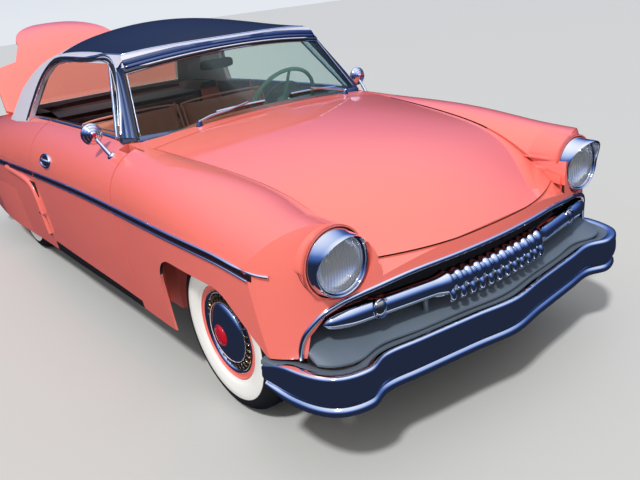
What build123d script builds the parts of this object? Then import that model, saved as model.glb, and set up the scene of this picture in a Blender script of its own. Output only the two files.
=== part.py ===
"""A 1950s two-door hardtop car: body panels on a ladder frame, with opening hood, deck lid and doors,
steered front wheels and turning road wheels.

Millimetres. +X is forward, +Y is the car's left and +Z is up. The origin is on the ground at the middle
of the car's length. The deck lid is stored raised, as the car is shown, and everything else is shut.
"""
from build123d import *
from math import asin, cos, hypot, radians, sin, sqrt
import os

# Driving sizes of the whole car
wheelbase = 2997
front_overhang = 822
rear_overhang = 1311
body_width = 1870
belt_height = 1030
widest_height = 785
roof_height = 1535
sill_height = 250
front_track = 1472
rear_track = 1422
tyre_radius = 350
tyre_width = 196

# The nose seen from above: its half width where the corners start, and how far it is swept back there
nose_half_width = 724
nose_sweep = 103

# How far the nose and tail lean in above the lamps: height, inset there
NOSE_LEAN = [(700, 0), (790, 4), (850, 15), (910, 36), (1200, 150)]

# Wall thicknesses and clearances
skin = 14
panel_gap = 8
door_gap = 8
door_swing_room = 50
pillar_foot_gap = 7
hood_depth = 24
roof_wall = 34
glass = 6
running_clearance = 0.05

# Places along the car
length = front_overhang + wheelbase + rear_overhang
front_axle_x = length / 2 - front_overhang
rear_axle_x = front_axle_x - wheelbase
half_width = body_width / 2
nose_x = front_axle_x + 717
tail_x = rear_axle_x - 1195
hood_rear_x = front_axle_x - 653
firewall_x = front_axle_x - 568
firewall_wall = 30
cowl_x = front_axle_x - 808
door_front_x = front_axle_x - 766
door_seam_lean = 56
door_rear_x = rear_axle_x + 930
seat_bulkhead_x = rear_axle_x + 450
bulkhead_wall = 40
screen_base_x = front_axle_x - 700
back_base_x = rear_axle_x - 20
lid_front_x = rear_axle_x - 62

# Heights inside the body
floor_top = 290
floor_sheet = 20
door_bottom = floor_top + 2 + door_gap
shelf_top = 985
shelf_sheet = 25
trunk_floor_top = 530
tail_wall = 32
cowl_underside = 980
tunnel_half_width = 110
tunnel_top = 430

# Half widths inside the body
cabin_belt_half = 715
cabin_floor_half = 772
pillar_half = 735
apron_half = 470
apron_wall = 15
wheelhouse_half = 575
house_wall = 15

# Hood and deck lid
hood_rear_half = 690
hood_front_half = 535
hood_seam_z = 735
lid_hinge_half = 745
lid_waist_half = 700
lid_dome_half = 500
lid_tail_half = 400
lid_waist_run = 500
lid_tail_round = 350
lid_open = 43
lid_hinge_back = 15
lid_hinge_drop = 4
lid_depth = 24
lid_bottom_z = 640

# Road wheels
rim_radius = 190
rim_width = 150
hub_radius = 45
spindle_radius = 20
kingpin_radius = 12
kingpin_half = 676


def block(x0, x1, y0, y1, z0, z1):
    return Pos((x0 + x1) / 2, (y0 + y1) / 2, (z0 + z1) / 2) * Box(x1 - x0, y1 - y0, z1 - z0)


def both_sides(shape):
    return shape + mirror(shape, about=Plane.XZ)


def side_prism(points, y0, y1):
    """Extrudes a side-view outline of (x, z) points across the car."""
    outline = Wire.make_polygon([Vector(x, y0, z) for x, z in points], close=True)
    return extrude(Face(outline), amount=y1 - y0, dir=(0, 1, 0))


def plan_prism(points, z0, z1):
    """Extrudes a top-view outline of (x, y) points upward."""
    outline = Wire.make_polygon([Vector(x, y, z0) for x, y in points], close=True)
    return extrude(Face(outline), amount=z1 - z0, dir=(0, 0, 1))


def front_prism(points, x0, x1):
    """Extrudes a front-view outline of (y, z) points along the car."""
    outline = Wire.make_polygon([Vector(x0, y, z) for y, z in points], close=True)
    return extrude(Face(outline), amount=x1 - x0, dir=(1, 0, 0))


def mirrored_outline(half):
    return half + [(-y, z) for y, z in reversed(half) if y]


def cross_rod(x, y0, y1, z, radius):
    return Pos(x, (y0 + y1) / 2, z) * Rot(90, 0, 0) * Cylinder(radius, y1 - y0)


# Body cross-sections from the nose back. Each row holds: the axle that the station keeps its distance
# from, that distance, top of the centreline above the belt, half width and height of the valley beside
# the hood, a point on the fender crown (inward of the body side, and its height), how far the widest
# point and the sill stand in from the body side, and the sill's rise above sill_height.
SECTIONS = [
    ("front", 762, -330, 515, -385, 205, -150, 38, 75, 80),
    ("front", 609, -212, 535, -308, 205, -118, 23, 58, 50),
    ("front", 352, -96, 568, -160, 148, -104, 12, 48, 36),
    ("front", 0, -18, 612, -72, 128, -68, 6, 45, 26),
    ("front", -498, 32, 672, -25, 92, -68, 14, 46, 12),
    ("front", -858, 46, 715, 0, 73, -85, 19, 50, 8),
    ("rear", 1398, 50, 735, 12, 66, -85, 17, 50, -7),
    ("rear", 548, 45, 735, 5, 66, -90, 9, 50, -21),
    ("rear", 0, 2, 715, -22, 74, -100, 1, 42, -32),
    ("rear", -600, -46, 680, -80, 92, -140, 10, 60, -22),
    ("rear", -1000, -145, 600, -232, 160, -166, 34, 95, 10),
    ("rear", -1245, -305, 560, -400, 172, -232, 60, 130, 60),
]


def body_section(row, inset):
    """One closed cross-section of the lower body. Drawn inside the skin by inset, it is open below."""
    axle, run, top, valley_y, valley, crown_in, crown, side_in, sill_in, sill_rise = row
    x = (front_axle_x if axle == "front" else rear_axle_x) + run
    sill = Vector(x, half_width - sill_in - inset, sill_height + sill_rise - 4 * inset)
    side = Vector(x, half_width - side_in - inset, widest_height)
    knee = Vector(x, half_width - (side_in + 0.32 * (sill_in - side_in)) - inset,
                  (widest_height + sill_height + sill_rise) / 2)
    shoulder = Vector(x, half_width - crown_in - 0.7 * inset, belt_height + crown - 0.7 * inset)
    groove = Vector(x, valley_y, belt_height + valley - inset)
    centre = Vector(x, 0, belt_height + top - inset)

    def other(point):
        return Vector(point.X, -point.Y, point.Z)

    edges = [
        Edge.make_line(other(sill), sill),
        Edge.make_three_point_arc(sill, knee, side),
        Edge.make_three_point_arc(side, shoulder, groove),
        Edge.make_three_point_arc(groove, centre, other(groove)),
        Edge.make_three_point_arc(other(groove), other(shoulder), other(side)),
        Edge.make_three_point_arc(other(side), other(knee), other(sill)),
    ]
    return Wire(edges)


def plan_outline(inset):
    """The body seen from above: curved nose, round corners under the lamps, straight sides, rounded tail."""
    reach = half_width + 40
    side = half_width + 4 - inset
    nose = nose_x - inset
    tail = tail_x + inset
    start_x = nose - nose_sweep
    nose_radius = (nose_half_width ** 2 + nose_sweep ** 2) / (2 * nose_sweep)
    slope = asin(nose_half_width / nose_radius)
    corner_radius = (side - nose_half_width) / (1 - sin(slope))
    corner_x = start_x - corner_radius * cos(slope)
    corner_y = side - corner_radius
    middle = (slope + radians(90)) / 2
    right = [
        Edge.make_three_point_arc((start_x, -nose_half_width, 0), (nose, 0, 0), (start_x, nose_half_width, 0)),
        Edge.make_three_point_arc((start_x, nose_half_width, 0),
                                  (corner_x + corner_radius * cos(middle), corner_y + corner_radius * sin(middle), 0),
                                  (corner_x, side, 0)),
        Edge.make_line((corner_x, side, 0), (corner_x - 100, reach, 0)),
        Edge.make_line((corner_x - 100, reach, 0), (tail + 330, reach, 0)),
        Edge.make_line((tail + 330, reach, 0), (tail + 230, side, 0)),
        Edge.make_three_point_arc((tail + 230, side, 0), (tail + 110, 850 - inset, 0), (tail + 50, 650, 0)),
        Edge.make_three_point_arc((tail + 50, 650, 0), (tail, 0, 0), (tail + 50, -650, 0)),
    ]
    left = [edge.mirror(Plane.XZ) for edge in right[1:6]]
    return Face(Wire(right + left))


def plan_form(inset):
    """The plan outline raised into a solid, straight up to the lamps and leaning inward above them."""
    straight = extrude(plan_outline(inset), amount=NOSE_LEAN[0][0], dir=(0, 0, 1))
    leaning = loft([plan_outline(inset + lean).moved(Location((0, 0, z))) for z, lean in NOSE_LEAN])
    return straight + leaning


def body_form(inset=0):
    """The lower body as one solid, inset from the outer skin."""
    return loft([Face(body_section(row, inset)) for row in SECTIONS]) & plan_form(inset)


# Greenhouse outlines seen from above, at the belt and at the roof's rim. Each row holds: height, x of
# the windscreen's centre and corner, x and half width of the front pillar, half width of the glass
# corner, x and half width of the rear pillar, x and half width of the backlight's corner, its centre x.
def greenhouse_rows(inset):
    low = belt_height - 30
    high = roof_height + 40
    rake = 0.92
    side_low = 786
    side_lean = 0.452
    rows = []
    for z in (low, high):
        up = z - low
        rows.append(dict(
            z=z,
            screen=screen_base_x + 55 - inset - rake * 0.93 * up,
            screen_corner=screen_base_x - 97 - inset - rake * 0.80 * up,
            corner_half=712 - inset - 0.30 * up,
            pillar_x=screen_base_x - 165 - inset - rake * 0.72 * up,
            pillar_half=side_low - 20 - inset - (side_lean - 0.02) * up,
            rear_x=rear_axle_x + 133 + inset + 0.75 * up,
            rear_half=side_low - inset - side_lean * up,
            glass_x=back_base_x + 20 + inset + 0.95 * up,
            glass_half=690 - inset - 0.30 * up,
            back=back_base_x - 20 + inset + 1.02 * up,
        ))
    return rows


def greenhouse_outline(r):
    z = r["z"]
    corner = (r["screen_corner"], r["corner_half"], z)
    pillar = (r["pillar_x"], r["pillar_half"], z)
    rear = (r["rear_x"], r["rear_half"], z)
    rear_glass = (r["glass_x"], r["glass_half"], z)

    def other(point):
        return (point[0], -point[1], point[2])

    side_bulge = ((pillar[0] + rear[0]) / 2, (pillar[1] + rear[1]) / 2 + 8, z)
    half = [
        Edge.make_line(corner, pillar),
        Edge.make_three_point_arc(pillar, side_bulge, rear),
        Edge.make_line(rear, rear_glass),
    ]
    edges = [Edge.make_three_point_arc(other(corner), (r["screen"], 0, z), corner)] + half
    edges.append(Edge.make_three_point_arc(rear_glass, (r["back"], 0, z), other(rear_glass)))
    edges += [edge.mirror(Plane.XZ) for edge in half]
    return Wire(edges)


# Roof crown arcs: the axle measured from, distance, centre below roof_height, drop to the side
CROWN = [
    ("front", -500, 290, 60),
    ("front", -1048, 103, 40),
    ("front", -1648, 0, 200),
    ("rear", 750, 28, 205),
    ("rear", 300, 150, 240),
    ("rear", -150, 380, 260),
]
CROWN_HALF = 800


def roof_crown(inset):
    faces = []
    for axle, run, drop, side_drop in CROWN:
        x = (front_axle_x if axle == "front" else rear_axle_x) + run
        top = roof_height - drop - inset
        edge_z = top - side_drop
        base = belt_height - 300
        arc = Edge.make_three_point_arc((x, -CROWN_HALF, edge_z), (x, 0, top), (x, CROWN_HALF, edge_z))
        down = Edge.make_line((x, CROWN_HALF, edge_z), (x, CROWN_HALF, base))
        under = Edge.make_line((x, CROWN_HALF, base), (x, -CROWN_HALF, base))
        back = Edge.make_line((x, -CROWN_HALF, base), (x, -CROWN_HALF, edge_z))
        faces.append(Face(Wire([arc, down, under, back])))
    return loft(faces)


def greenhouse(inset=0):
    low, high = [Face(greenhouse_outline(row)) for row in greenhouse_rows(inset)]
    return loft([low, high], ruled=True) & roof_crown(inset)


nodes = {}

outer = body_form()
inner = body_form(skin)
under_hood = body_form(hood_depth)

# Spaces inside the body
door_front_low = door_front_x + door_seam_lean
cabin_outline = [(cabin_floor_half, floor_top), (cabin_floor_half, widest_height),
                 (cabin_belt_half, belt_height - 60), (cabin_belt_half, belt_height + 200)]
step_x = cowl_x - 50
cabin = front_prism(mirrored_outline(cabin_outline), seat_bulkhead_x, step_x)
foot_well = block(step_x, firewall_x, -pillar_half + 45, pillar_half - 45, floor_top, cowl_underside)
dash_opening = block(step_x, cowl_x, -pillar_half + 45, pillar_half - 45, floor_top, belt_height + 200)
shelf_space = block(rear_axle_x + 90, seat_bulkhead_x + 1, -700, 700, shelf_top, belt_height + 200)
cabin_space = cabin + foot_well + dash_opening + shelf_space

trunk_front_x = seat_bulkhead_x - bulkhead_wall
trunk_space = block(tail_x + 40, trunk_front_x, -wheelhouse_half + house_wall,
                    wheelhouse_half - house_wall, trunk_floor_top, shelf_top - shelf_sheet)
below_trunk = block(tail_x + 40, trunk_front_x, -wheelhouse_half + house_wall,
                    wheelhouse_half - house_wall, 0, trunk_floor_top)

# Hood and deck lid outlines seen from above
def hood_prism(gap):
    slope = (hood_rear_half - hood_front_half) / (front_axle_x + 609 - hood_rear_x)
    far_x = nose_x + 60
    far_half = hood_rear_half - slope * (far_x - hood_rear_x)
    half = [(hood_rear_x - gap, hood_rear_half + gap), (far_x, far_half + gap)]
    points = half + [(x, -y) for x, y in reversed(half)]
    return plan_prism(points, hood_seam_z - gap, belt_height + 200)


def lid_prism(gap):
    """The deck lid: a wide flat deck, then a narrower domed part with a rounded tail edge."""
    waist_x = lid_front_x - lid_waist_run
    turn_x = tail_x + lid_tail_round
    half = [(lid_front_x + gap, lid_hinge_half - 60 + gap), (lid_front_x - 60, lid_hinge_half + gap),
            (waist_x, lid_waist_half + gap), (waist_x - 50, lid_dome_half + gap),
            (turn_x, lid_tail_half + gap)]
    corners = [Vector(x, y, 0) for x, y in half]
    edges = [Edge.make_line(a, b) for a, b in zip(corners, corners[1:])]
    edges += [edge.mirror(Plane.XZ) for edge in edges]
    edges.append(Edge.make_line((half[0][0], -half[0][1], 0), (half[0][0], half[0][1], 0)))
    edges.append(Edge.make_three_point_arc((turn_x, half[-1][1], 0), (tail_x - 20 - gap, 0, 0),
                                           (turn_x, -half[-1][1], 0)))
    outline = Face(Wire(edges)).moved(Location((0, 0, lid_bottom_z - gap)))
    return extrude(outline, amount=belt_height + 200 - lid_bottom_z + gap, dir=(0, 0, 1))


lid_hinge = Vector(lid_front_x - lid_hinge_back, 0, belt_height - lid_hinge_drop)

nodes["hood"] = (outer - inner) & hood_prism(0)
lid_shut = (outer - body_form(lid_depth)) & lid_prism(0)
nodes["deck_lid"] = lid_shut.rotate(Axis(lid_hinge, (0, 1, 0)), lid_open)


# Doors
def door_prism(gap):
    """The door's opening: leaning front seam, level bottom, and a rear edge bevelled to swing clear."""
    bevel = 16
    depth = half_width + 40 - cabin_belt_half
    slope = bevel / depth
    top = belt_height + 120
    lean = door_seam_lean / (belt_height - floor_top)
    front_top = door_front_x - lean * (top - belt_height) + gap
    front_low = front_top + lean * (top - door_bottom + gap)
    side = side_prism([(door_rear_x - 200, door_bottom - gap), (front_low, door_bottom - gap),
                       (front_top, top), (door_rear_x - 200, top)], cabin_belt_half - 60, half_width + 60)
    outer_y = half_width + 60
    inner_y = cabin_belt_half - 60
    rear_outer = door_rear_x - gap
    rear_inner = rear_outer + slope * (outer_y - inner_y)
    far = front_axle_x
    wedge = plan_prism([(rear_outer, outer_y), (far, outer_y), (far, inner_y), (rear_inner, inner_y)],
                       door_bottom - gap - 10, top + 10)
    return side & wedge


door_cavity = cabin + block(step_x - 12, firewall_x, 0, pillar_half + door_swing_room, 0, belt_height + 200)
door_left = (outer & door_prism(0)) - door_cavity
nodes["door_left"] = door_left
nodes["door_right"] = mirror(door_left, about=Plane.XZ)

# Front fenders with their aprons
arch_rear_x = front_axle_x - 348
arch_flat_x = front_axle_x + 212
arch_front_x = front_axle_x + 457
arch_top = 646
arch_corner = 150
arch_sweep = 160
fender_low = 458
front_zone = block(cowl_x, nose_x + 60, 0, half_width + 50, 0, 1400)
grille_half = [(400, 662), (650, 634), (744, 602), (796, 540), (813, 458), (813, 200)]
grille_space = front_prism(mirrored_outline(grille_half), nose_x - 290, nose_x + 60)
wheel_room_front_x = nose_x - 200
wheel_room = (inner & block(firewall_x + firewall_wall + 5, wheel_room_front_x, 640, half_width, 0, 1400)) + block(
    firewall_x + firewall_wall + 5, wheel_room_front_x - 50, apron_half, half_width - 60, 0, 790)
behind_room = inner & block(door_front_low + 40, firewall_x + firewall_wall + 6, pillar_half + 25,
                            half_width, 0, 1400)
engine_bay = block(firewall_x + firewall_wall, nose_x - 135, -apron_half + apron_wall,
                   apron_half - apron_wall, 0, 1400)
arch = side_prism([(arch_rear_x, 100), (arch_rear_x, arch_top), (arch_flat_x, arch_top),
                   (arch_front_x, fender_low), (arch_front_x, 100)], apron_half + 2, half_width + 60)
arch = fillet([edge for edge in arch.edges().filter_by(Axis.Y)
               if edge.center().Z > arch_top - 1 and edge.center().X < front_axle_x], arch_corner)
arch = fillet([edge for edge in arch.edges().filter_by(Axis.Y)
               if edge.center().Z > arch_top - 1 and edge.center().X > front_axle_x], arch_sweep)
lamp_y = 682
lamp_z = 777
lamp_radius = 112
lamp_base_radius = 126
lamp_x = front_axle_x + 638
lamp_bore = Pos(lamp_x - 100, lamp_y, lamp_z) * Rot(0, 90, 0) * Cylinder(lamp_base_radius + 0.2, 500)

nose_half = 545
nose_zone = block(nose_x - 135, nose_x + 60, -nose_half, nose_half, 0, hood_seam_z - panel_gap)

sill_block = block(door_rear_x, door_front_low + door_gap, cabin_floor_half - 30, half_width + 10,
                   0, door_bottom - door_gap)
fender = (outer & front_zone) - door_prism(door_gap) - sill_block
fender -= block(0, firewall_x + firewall_wall, 0, pillar_half + 10, 0, 1400)
fender -= hood_prism(panel_gap) - under_hood
fender -= engine_bay
fender -= wheel_room
fender -= behind_room
fender -= arch
fender -= nose_zone
fender -= grille_space
fender -= lamp_bore
fender -= block(arch_front_x - 60, nose_x + 60, 0, half_width + 50, 0, fender_low)
fender -= block(front_axle_x - 140, front_axle_x + 140, 440, 480, 0, 500)
nodes["front_fender_left"] = fender
nodes["front_fender_right"] = mirror(fender, about=Plane.XZ)

nodes["nose_panel"] = (outer & nose_zone) - inner - grille_space - hood_prism(panel_gap)

# Cowl: firewall, top panel and the hinge pillars
cowl_block = block(step_x, firewall_x + firewall_wall, -pillar_half, pillar_half, floor_top, 1400)
cowl_block += block(door_front_low + 40, firewall_x + firewall_wall, -pillar_half - 10,
                    pillar_half + 10, floor_top, 1400)
cowl = (outer & cowl_block) - cabin_space - (hood_prism(panel_gap) - under_hood)
cowl -= block(0, length, -tunnel_half_width, tunnel_half_width, 0, tunnel_top)
nodes["cowl"] = cowl

# Floor with tunnel and sills
floor_front_x = firewall_x + firewall_wall
floor = block(seat_bulkhead_x - bulkhead_wall, floor_front_x, -cabin_floor_half, cabin_floor_half,
              floor_top - floor_sheet, floor_top)
floor += block(trunk_front_x, firewall_x, -tunnel_half_width - 16, tunnel_half_width + 16,
               floor_top, tunnel_top + 16)
floor -= block(seat_bulkhead_x - bulkhead_wall, floor_front_x, -tunnel_half_width, tunnel_half_width,
               0, tunnel_top)
floor -= block(door_front_low, floor_front_x, pillar_half + 10, half_width, 0, 400)
floor -= block(door_front_low, floor_front_x, -half_width, -pillar_half - 10, 0, 400)
deck_half = wheelhouse_half - house_wall
floor -= both_sides(block(trunk_front_x - 1, door_rear_x, deck_half, half_width, 0, 400))
floor += both_sides(outer & sill_block)
nodes["floor_pan"] = floor

# Rear quarters with wheelhouses
rear_zone = block(tail_x - 60, door_rear_x + 40, wheelhouse_half - house_wall, half_width + 60, 0, 1400)
rear_room = inner & block(tail_x + 60, seat_bulkhead_x - 60, wheelhouse_half, half_width, 0, 780)
skirt_front_x = rear_axle_x + 400
skirt_rear_x = rear_axle_x - 400
skirt_top = 560
skirt_hole = side_prism([(skirt_front_x, 100), (skirt_front_x - 60, skirt_top), (skirt_rear_x + 60, skirt_top),
                         (skirt_rear_x, 100)], wheelhouse_half + 40, half_width + 60)
quarter = (outer & rear_zone) - cabin_space - rear_room - skirt_hole
quarter -= door_prism(door_gap)
quarter -= block(door_rear_x, door_rear_x + 60, 0, half_width + 60, 0, 1400)
quarter -= lid_prism(panel_gap) - body_form(lid_depth + 8)
quarter -= trunk_space
quarter -= block(rear_axle_x - 700, rear_axle_x + 390, 0, wheelhouse_half + 40, 0, 500)
nodes["quarter_panel_left"] = quarter
nodes["quarter_panel_right"] = mirror(quarter, about=Plane.XZ)

skirt = (outer - inner) & skirt_hole
nodes["fender_skirts"] = both_sides(skirt)

# Rear deck, shelf and seat bulkhead between the wheelhouses
deck_zone = block(lid_front_x + panel_gap, seat_bulkhead_x, -deck_half, deck_half, floor_top, 1400)
deck = (outer & deck_zone) - cabin_space - trunk_space - below_trunk
deck -= block(trunk_front_x - 1, seat_bulkhead_x + 1, -tunnel_half_width - 16, tunnel_half_width + 16,
              0, tunnel_top + 16)
nodes["rear_deck"] = deck

lid_waist_x = lid_front_x - lid_waist_run
tail_zone = block(tail_x - 60, lid_waist_x, -deck_half, deck_half, 380, 1400)
tail = ((outer - body_form(tail_wall)) & tail_zone) - (lid_prism(panel_gap) - body_form(lid_depth + 8))
tail -= block(tail_x + tail_wall + 8, lid_waist_x, -deck_half, deck_half, 380, trunk_floor_top)
trunk_floor = block(tail_x + 40, trunk_front_x, -deck_half, deck_half,
                    trunk_floor_top - floor_sheet, trunk_floor_top)
nodes["tail_panel"] = tail
nodes["trunk_floor"] = trunk_floor

# Roof with its pillars, and the glass in it
shell = greenhouse() - greenhouse(roof_wall)
screen_outline = [(700, belt_height + 14), (612, 1343), (0, 1386), (-612, 1343), (-700, belt_height + 14)]
screen_cut = front_prism(screen_outline, screen_base_x - 420, screen_base_x + 160)
side_top = 1378
pillar_low_x = screen_base_x - 170
pillar_high_x = screen_base_x - 458
vent_post_low_x = screen_base_x - 232
vent_post_high_x = screen_base_x - 552
side_cut = side_prism([(pillar_low_x, belt_height - 60), (pillar_high_x, side_top),
                       (rear_axle_x + 940, side_top + 8), (rear_axle_x + 800, side_top - 40),
                       (rear_axle_x + 660, 1240), (rear_axle_x + 545, belt_height - 60)], 300, 900)
back_outline = [(560, belt_height + 26), (470, 1330), (0, 1360), (-470, 1330), (-560, belt_height + 26)]
back_cut = front_prism(back_outline, rear_axle_x - 160, rear_axle_x + 520)
roof = shell - outer - screen_cut - both_sides(side_cut) - back_cut
roof -= both_sides(body_form(-pillar_foot_gap) & door_prism(door_gap))
nodes["roof"] = roof
pane = greenhouse(6) - greenhouse(6 + glass)
nodes["windscreen"] = (pane & screen_cut) - outer
nodes["rear_window"] = (pane & back_cut) - outer

# Vent windows and mirrors on the doors
vent_gap = 9
vent_outline = [(pillar_low_x - vent_gap, belt_height - 60), (pillar_high_x - vent_gap, side_top - vent_gap),
                (vent_post_high_x, side_top - vent_gap), (vent_post_low_x, belt_height - 60)]
vent_pane_inset = 14
vent_wall = greenhouse(vent_pane_inset) - greenhouse(vent_pane_inset + 12)
vent = (vent_wall & side_prism(vent_outline, 300, 900)) - outer
nodes["vent_window_left"] = vent
nodes["vent_window_right"] = mirror(vent, about=Plane.XZ)

mirror_radius = 62
mirror_centre = Vector(front_axle_x - 1003, half_width - 85, belt_height + 55)
mirror_foot = Vector(front_axle_x - 880, half_width - 105, belt_height - 45)
arm = mirror_centre - mirror_foot
stalk = Plane(origin=mirror_foot, z_dir=arm) * Cylinder(
    7, arm.length, align=(Align.CENTER, Align.CENTER, Align.MIN))
head = Plane(origin=mirror_centre, z_dir=(1, 0, 0)) * Cone(
    mirror_radius, 30, 34, align=(Align.CENTER, Align.CENTER, Align.MIN))
head += Plane(origin=mirror_centre, z_dir=(-1, 0, 0)) * Cylinder(
    mirror_radius, 8, align=(Align.CENTER, Align.CENTER, Align.MIN))
side_mirror = (stalk + head) - outer
nodes["mirror_left"] = side_mirror
nodes["mirror_right"] = mirror(side_mirror, about=Plane.XZ)

# Bumper bars
def moved_out(half, out):
    """Moves a plan curve of (x, y) points, from the middle to one tip, outward along its normals."""
    moved = []
    for index, (x, y) in enumerate(half):
        x0, y0 = half[max(index - 1, 0)]
        x1, y1 = half[min(index + 1, len(half) - 1)]
        dx, dy = (0, 1) if index == 0 else (x1 - x0, y1 - y0)
        size = hypot(dx, dy) * (1 if y1 >= y0 else -1)
        turn = 1 if half[0][0] > half[-1][0] else -1
        moved.append((x + turn * out * dy / size, y - turn * out * dx / size))
    return moved


def both_tips(half):
    return [(x, -y) for x, y in reversed(half[1:])] + half


def bumper_layer(outer_half, inner_half, z0, z1, rounding=0):
    """A bar bent to a plan curve of (x, y) points from the middle to one tip, bevelled top and bottom."""
    front = Spline(*[(x, y, z0) for x, y in both_tips(outer_half)])
    back = Spline(*[(x, y, z0) for x, y in both_tips(inner_half)])
    tips = [Line(front @ 0, back @ 0), Line(front @ 1, back @ 1)]
    bar = extrude(Face(Wire([front.edge(), back.edge()] + [tip.edge() for tip in tips])), amount=z1 - z0,
                  dir=(0, 0, 1))
    rims = [edge for edge in bar.edges() if edge.length > 600]
    return chamfer(rims, rounding) if rounding else bar


def bumper(outer_half, inner_half, z0, z1):
    """A bumper bar: a deep rounded face over a groove and a rolled lower lip."""
    bar = bumper_layer(outer_half, inner_half, z0 + lip_depth + groove_depth, z1, face_bevel)
    bar += bumper_layer(moved_out(outer_half, -groove_set), inner_half, z0 + lip_depth - 1,
                        z0 + lip_depth + groove_depth + face_bevel)
    return bar + bumper_layer(moved_out(outer_half, -lip_set), inner_half, z0, z0 + lip_depth, lip_bevel)


FRONT_BUMPER = [(822, 0), (794, 200), (764, 450), (746, 600), (778, 705), (742, 815), (640, 880),
                (430, 918)]
FRONT_INNER = [(764, 0), (738, 200), (708, 450), (690, 600), (710, 690), (690, 760), (610, 822),
               (430, 862)]
REAR_BUMPER = [(-1311, 0), (-1300, 350), (-1262, 650), (-1190, 830), (-1080, 915), (-900, 935)]
REAR_INNER = [(-1260, 0), (-1248, 350), (-1210, 638), (-1150, 786), (-1060, 860), (-900, 886)]
FRONT_OUTER_LINE = [(front_axle_x + x, y) for x, y in FRONT_BUMPER]
FRONT_INNER_LINE = [(front_axle_x + x, y) for x, y in FRONT_INNER]
REAR_OUTER_LINE = [(rear_axle_x + x, y) for x, y in REAR_BUMPER]
REAR_INNER_LINE = [(rear_axle_x + x, y) for x, y in REAR_INNER]
bumper_low = 292
bumper_high = 452
lip_depth = 26
groove_depth = 12
groove_set = 16
lip_set = 5
face_bevel = 20
lip_bevel = 8

# Front end: grille bar, gravel pan, bumpers and lamps
bar_x = front_axle_x + 690
bar_z = 573
bar_radius = 30
bar_half = 265
bar_taper_half = 640
bar_end_half = 756
bar_end_set = 84
tooth_count = 12
tooth_radius = 46
tooth_width = 37
tooth_bevel = 12
tooth_half = 261
tooth_bow = 18
park_y = 553
park_radius = 33

bar = cross_rod(bar_x, -bar_half, bar_half, bar_z, bar_radius)
sweep_back = bar_end_set / (bar_end_half - bar_half)
run = Vector(-sweep_back, 1, 0)
wing_plane = Plane(origin=(bar_x, bar_half, bar_z), z_dir=run)
wing_length = (bar_taper_half - bar_half) * run.length
wing = wing_plane * Cone(bar_radius + 4, bar_radius, wing_length, align=(Align.CENTER, Align.CENTER, Align.MIN))
wing += wing_plane * Pos(0, 0, wing_length) * Cone(
    bar_radius, 4, (bar_end_half - bar_taper_half) * run.length, align=(Align.CENTER, Align.CENTER, Align.MIN))
lamp_back_x = bar_x - sweep_back * (park_y - bar_half) - 20
bullet = Pos(lamp_back_x, park_y, bar_z) * Rot(0, 90, 0) * Cylinder(
    park_radius, 44, align=(Align.CENTER, Align.CENTER, Align.MIN))
bullet += Pos(lamp_back_x + 44, park_y, bar_z) * Sphere(park_radius - 4)
bar += both_sides(wing + bullet)
for index in range(tooth_count):
    y = -tooth_half + 2 * tooth_half * index / (tooth_count - 1)
    bow = tooth_bow * (1 - (y / tooth_half) ** 2)
    tooth = cross_rod(bar_x + bow, y - tooth_width / 2, y + tooth_width / 2, bar_z, tooth_radius)
    bar += chamfer(tooth.edges().filter_by(GeomType.CIRCLE), tooth_bevel)

pan_back_x = nose_x - 220
pan_half = 805
pan_gap = 4
pan_back_z = 545
pan_front_z = 456
pan_sheet = 8
back_edge = Edge.make_three_point_arc((pan_back_x - 60, -pan_half, pan_back_z), (pan_back_x, 0, pan_back_z),
                                      (pan_back_x - 60, pan_half, pan_back_z))
pan_line = moved_out([point for point in FRONT_INNER_LINE if point[1] < pan_half + 20], -pan_gap)
front_edge = Spline(*[(x, y, pan_front_z) for x, y in both_tips(pan_line)]).edge()
pan = extrude(Face.make_surface_from_curves(back_edge, front_edge), amount=pan_sheet, dir=(0, 0, -1))
post_z = bar_z - bar_radius - 60
for y in (-330, 330):
    bar += block(bar_x - 12, bar_x + 12, y - 14, y + 14, post_z - 60, bar_z)
pan_under = extrude(Face.make_surface_from_curves(back_edge, front_edge), amount=400, dir=(0, 0, -1))
nodes["grille_bar"] = bar - pan_under
nodes["gravel_pan"] = pan & grille_space


nodes["front_bumper"] = bumper(FRONT_OUTER_LINE, FRONT_INNER_LINE, bumper_low, bumper_high)
nodes["rear_bumper"] = bumper(REAR_OUTER_LINE, REAR_INNER_LINE, bumper_low + 18, bumper_high) - outer

lens_radius = 90
lamp_reach = 30
visor_reach = 58
bezel_run = 110
bezel_cone = 35
bezel = Pos(lamp_x - 120, lamp_y, lamp_z) * Rot(0, 90, 0) * Cylinder(
    lamp_base_radius, bezel_run, align=(Align.CENTER, Align.CENTER, Align.MIN))
bezel += Pos(lamp_x - 120 + bezel_run, lamp_y, lamp_z) * Rot(0, 90, 0) * Cone(
    lamp_base_radius, lamp_radius, bezel_cone, align=(Align.CENTER, Align.CENTER, Align.MIN))
bezel += Pos(lamp_x, lamp_y, lamp_z) * Rot(0, 90, 0) * Cylinder(
    lamp_radius, visor_reach, align=(Align.CENTER, Align.CENTER, Align.MIN))
bezel -= Pos(lamp_x - 30, lamp_y, lamp_z) * Rot(0, 90, 0) * Cylinder(
    lens_radius + 3, 300, align=(Align.CENTER, Align.CENTER, Align.MIN))
bezel -= side_prism([(lamp_x + visor_reach + 1, lamp_z + lamp_radius), (lamp_x + lamp_reach, lamp_z),
                     (lamp_x + lamp_reach - 12, lamp_z - lamp_radius - 10),
                     (lamp_x + 300, lamp_z - lamp_radius - 10), (lamp_x + 300, lamp_z + lamp_radius)],
                    lamp_y - lamp_radius - 10, lamp_y + lamp_radius + 10)
nodes["headlamp_bezels"] = both_sides(bezel)
dome_radius = 210
dome_rise = dome_radius - sqrt(dome_radius ** 2 - lens_radius ** 2)
lens_back = Edge.make_line((0, 0, 0), (lens_radius, 0, 0))
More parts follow.
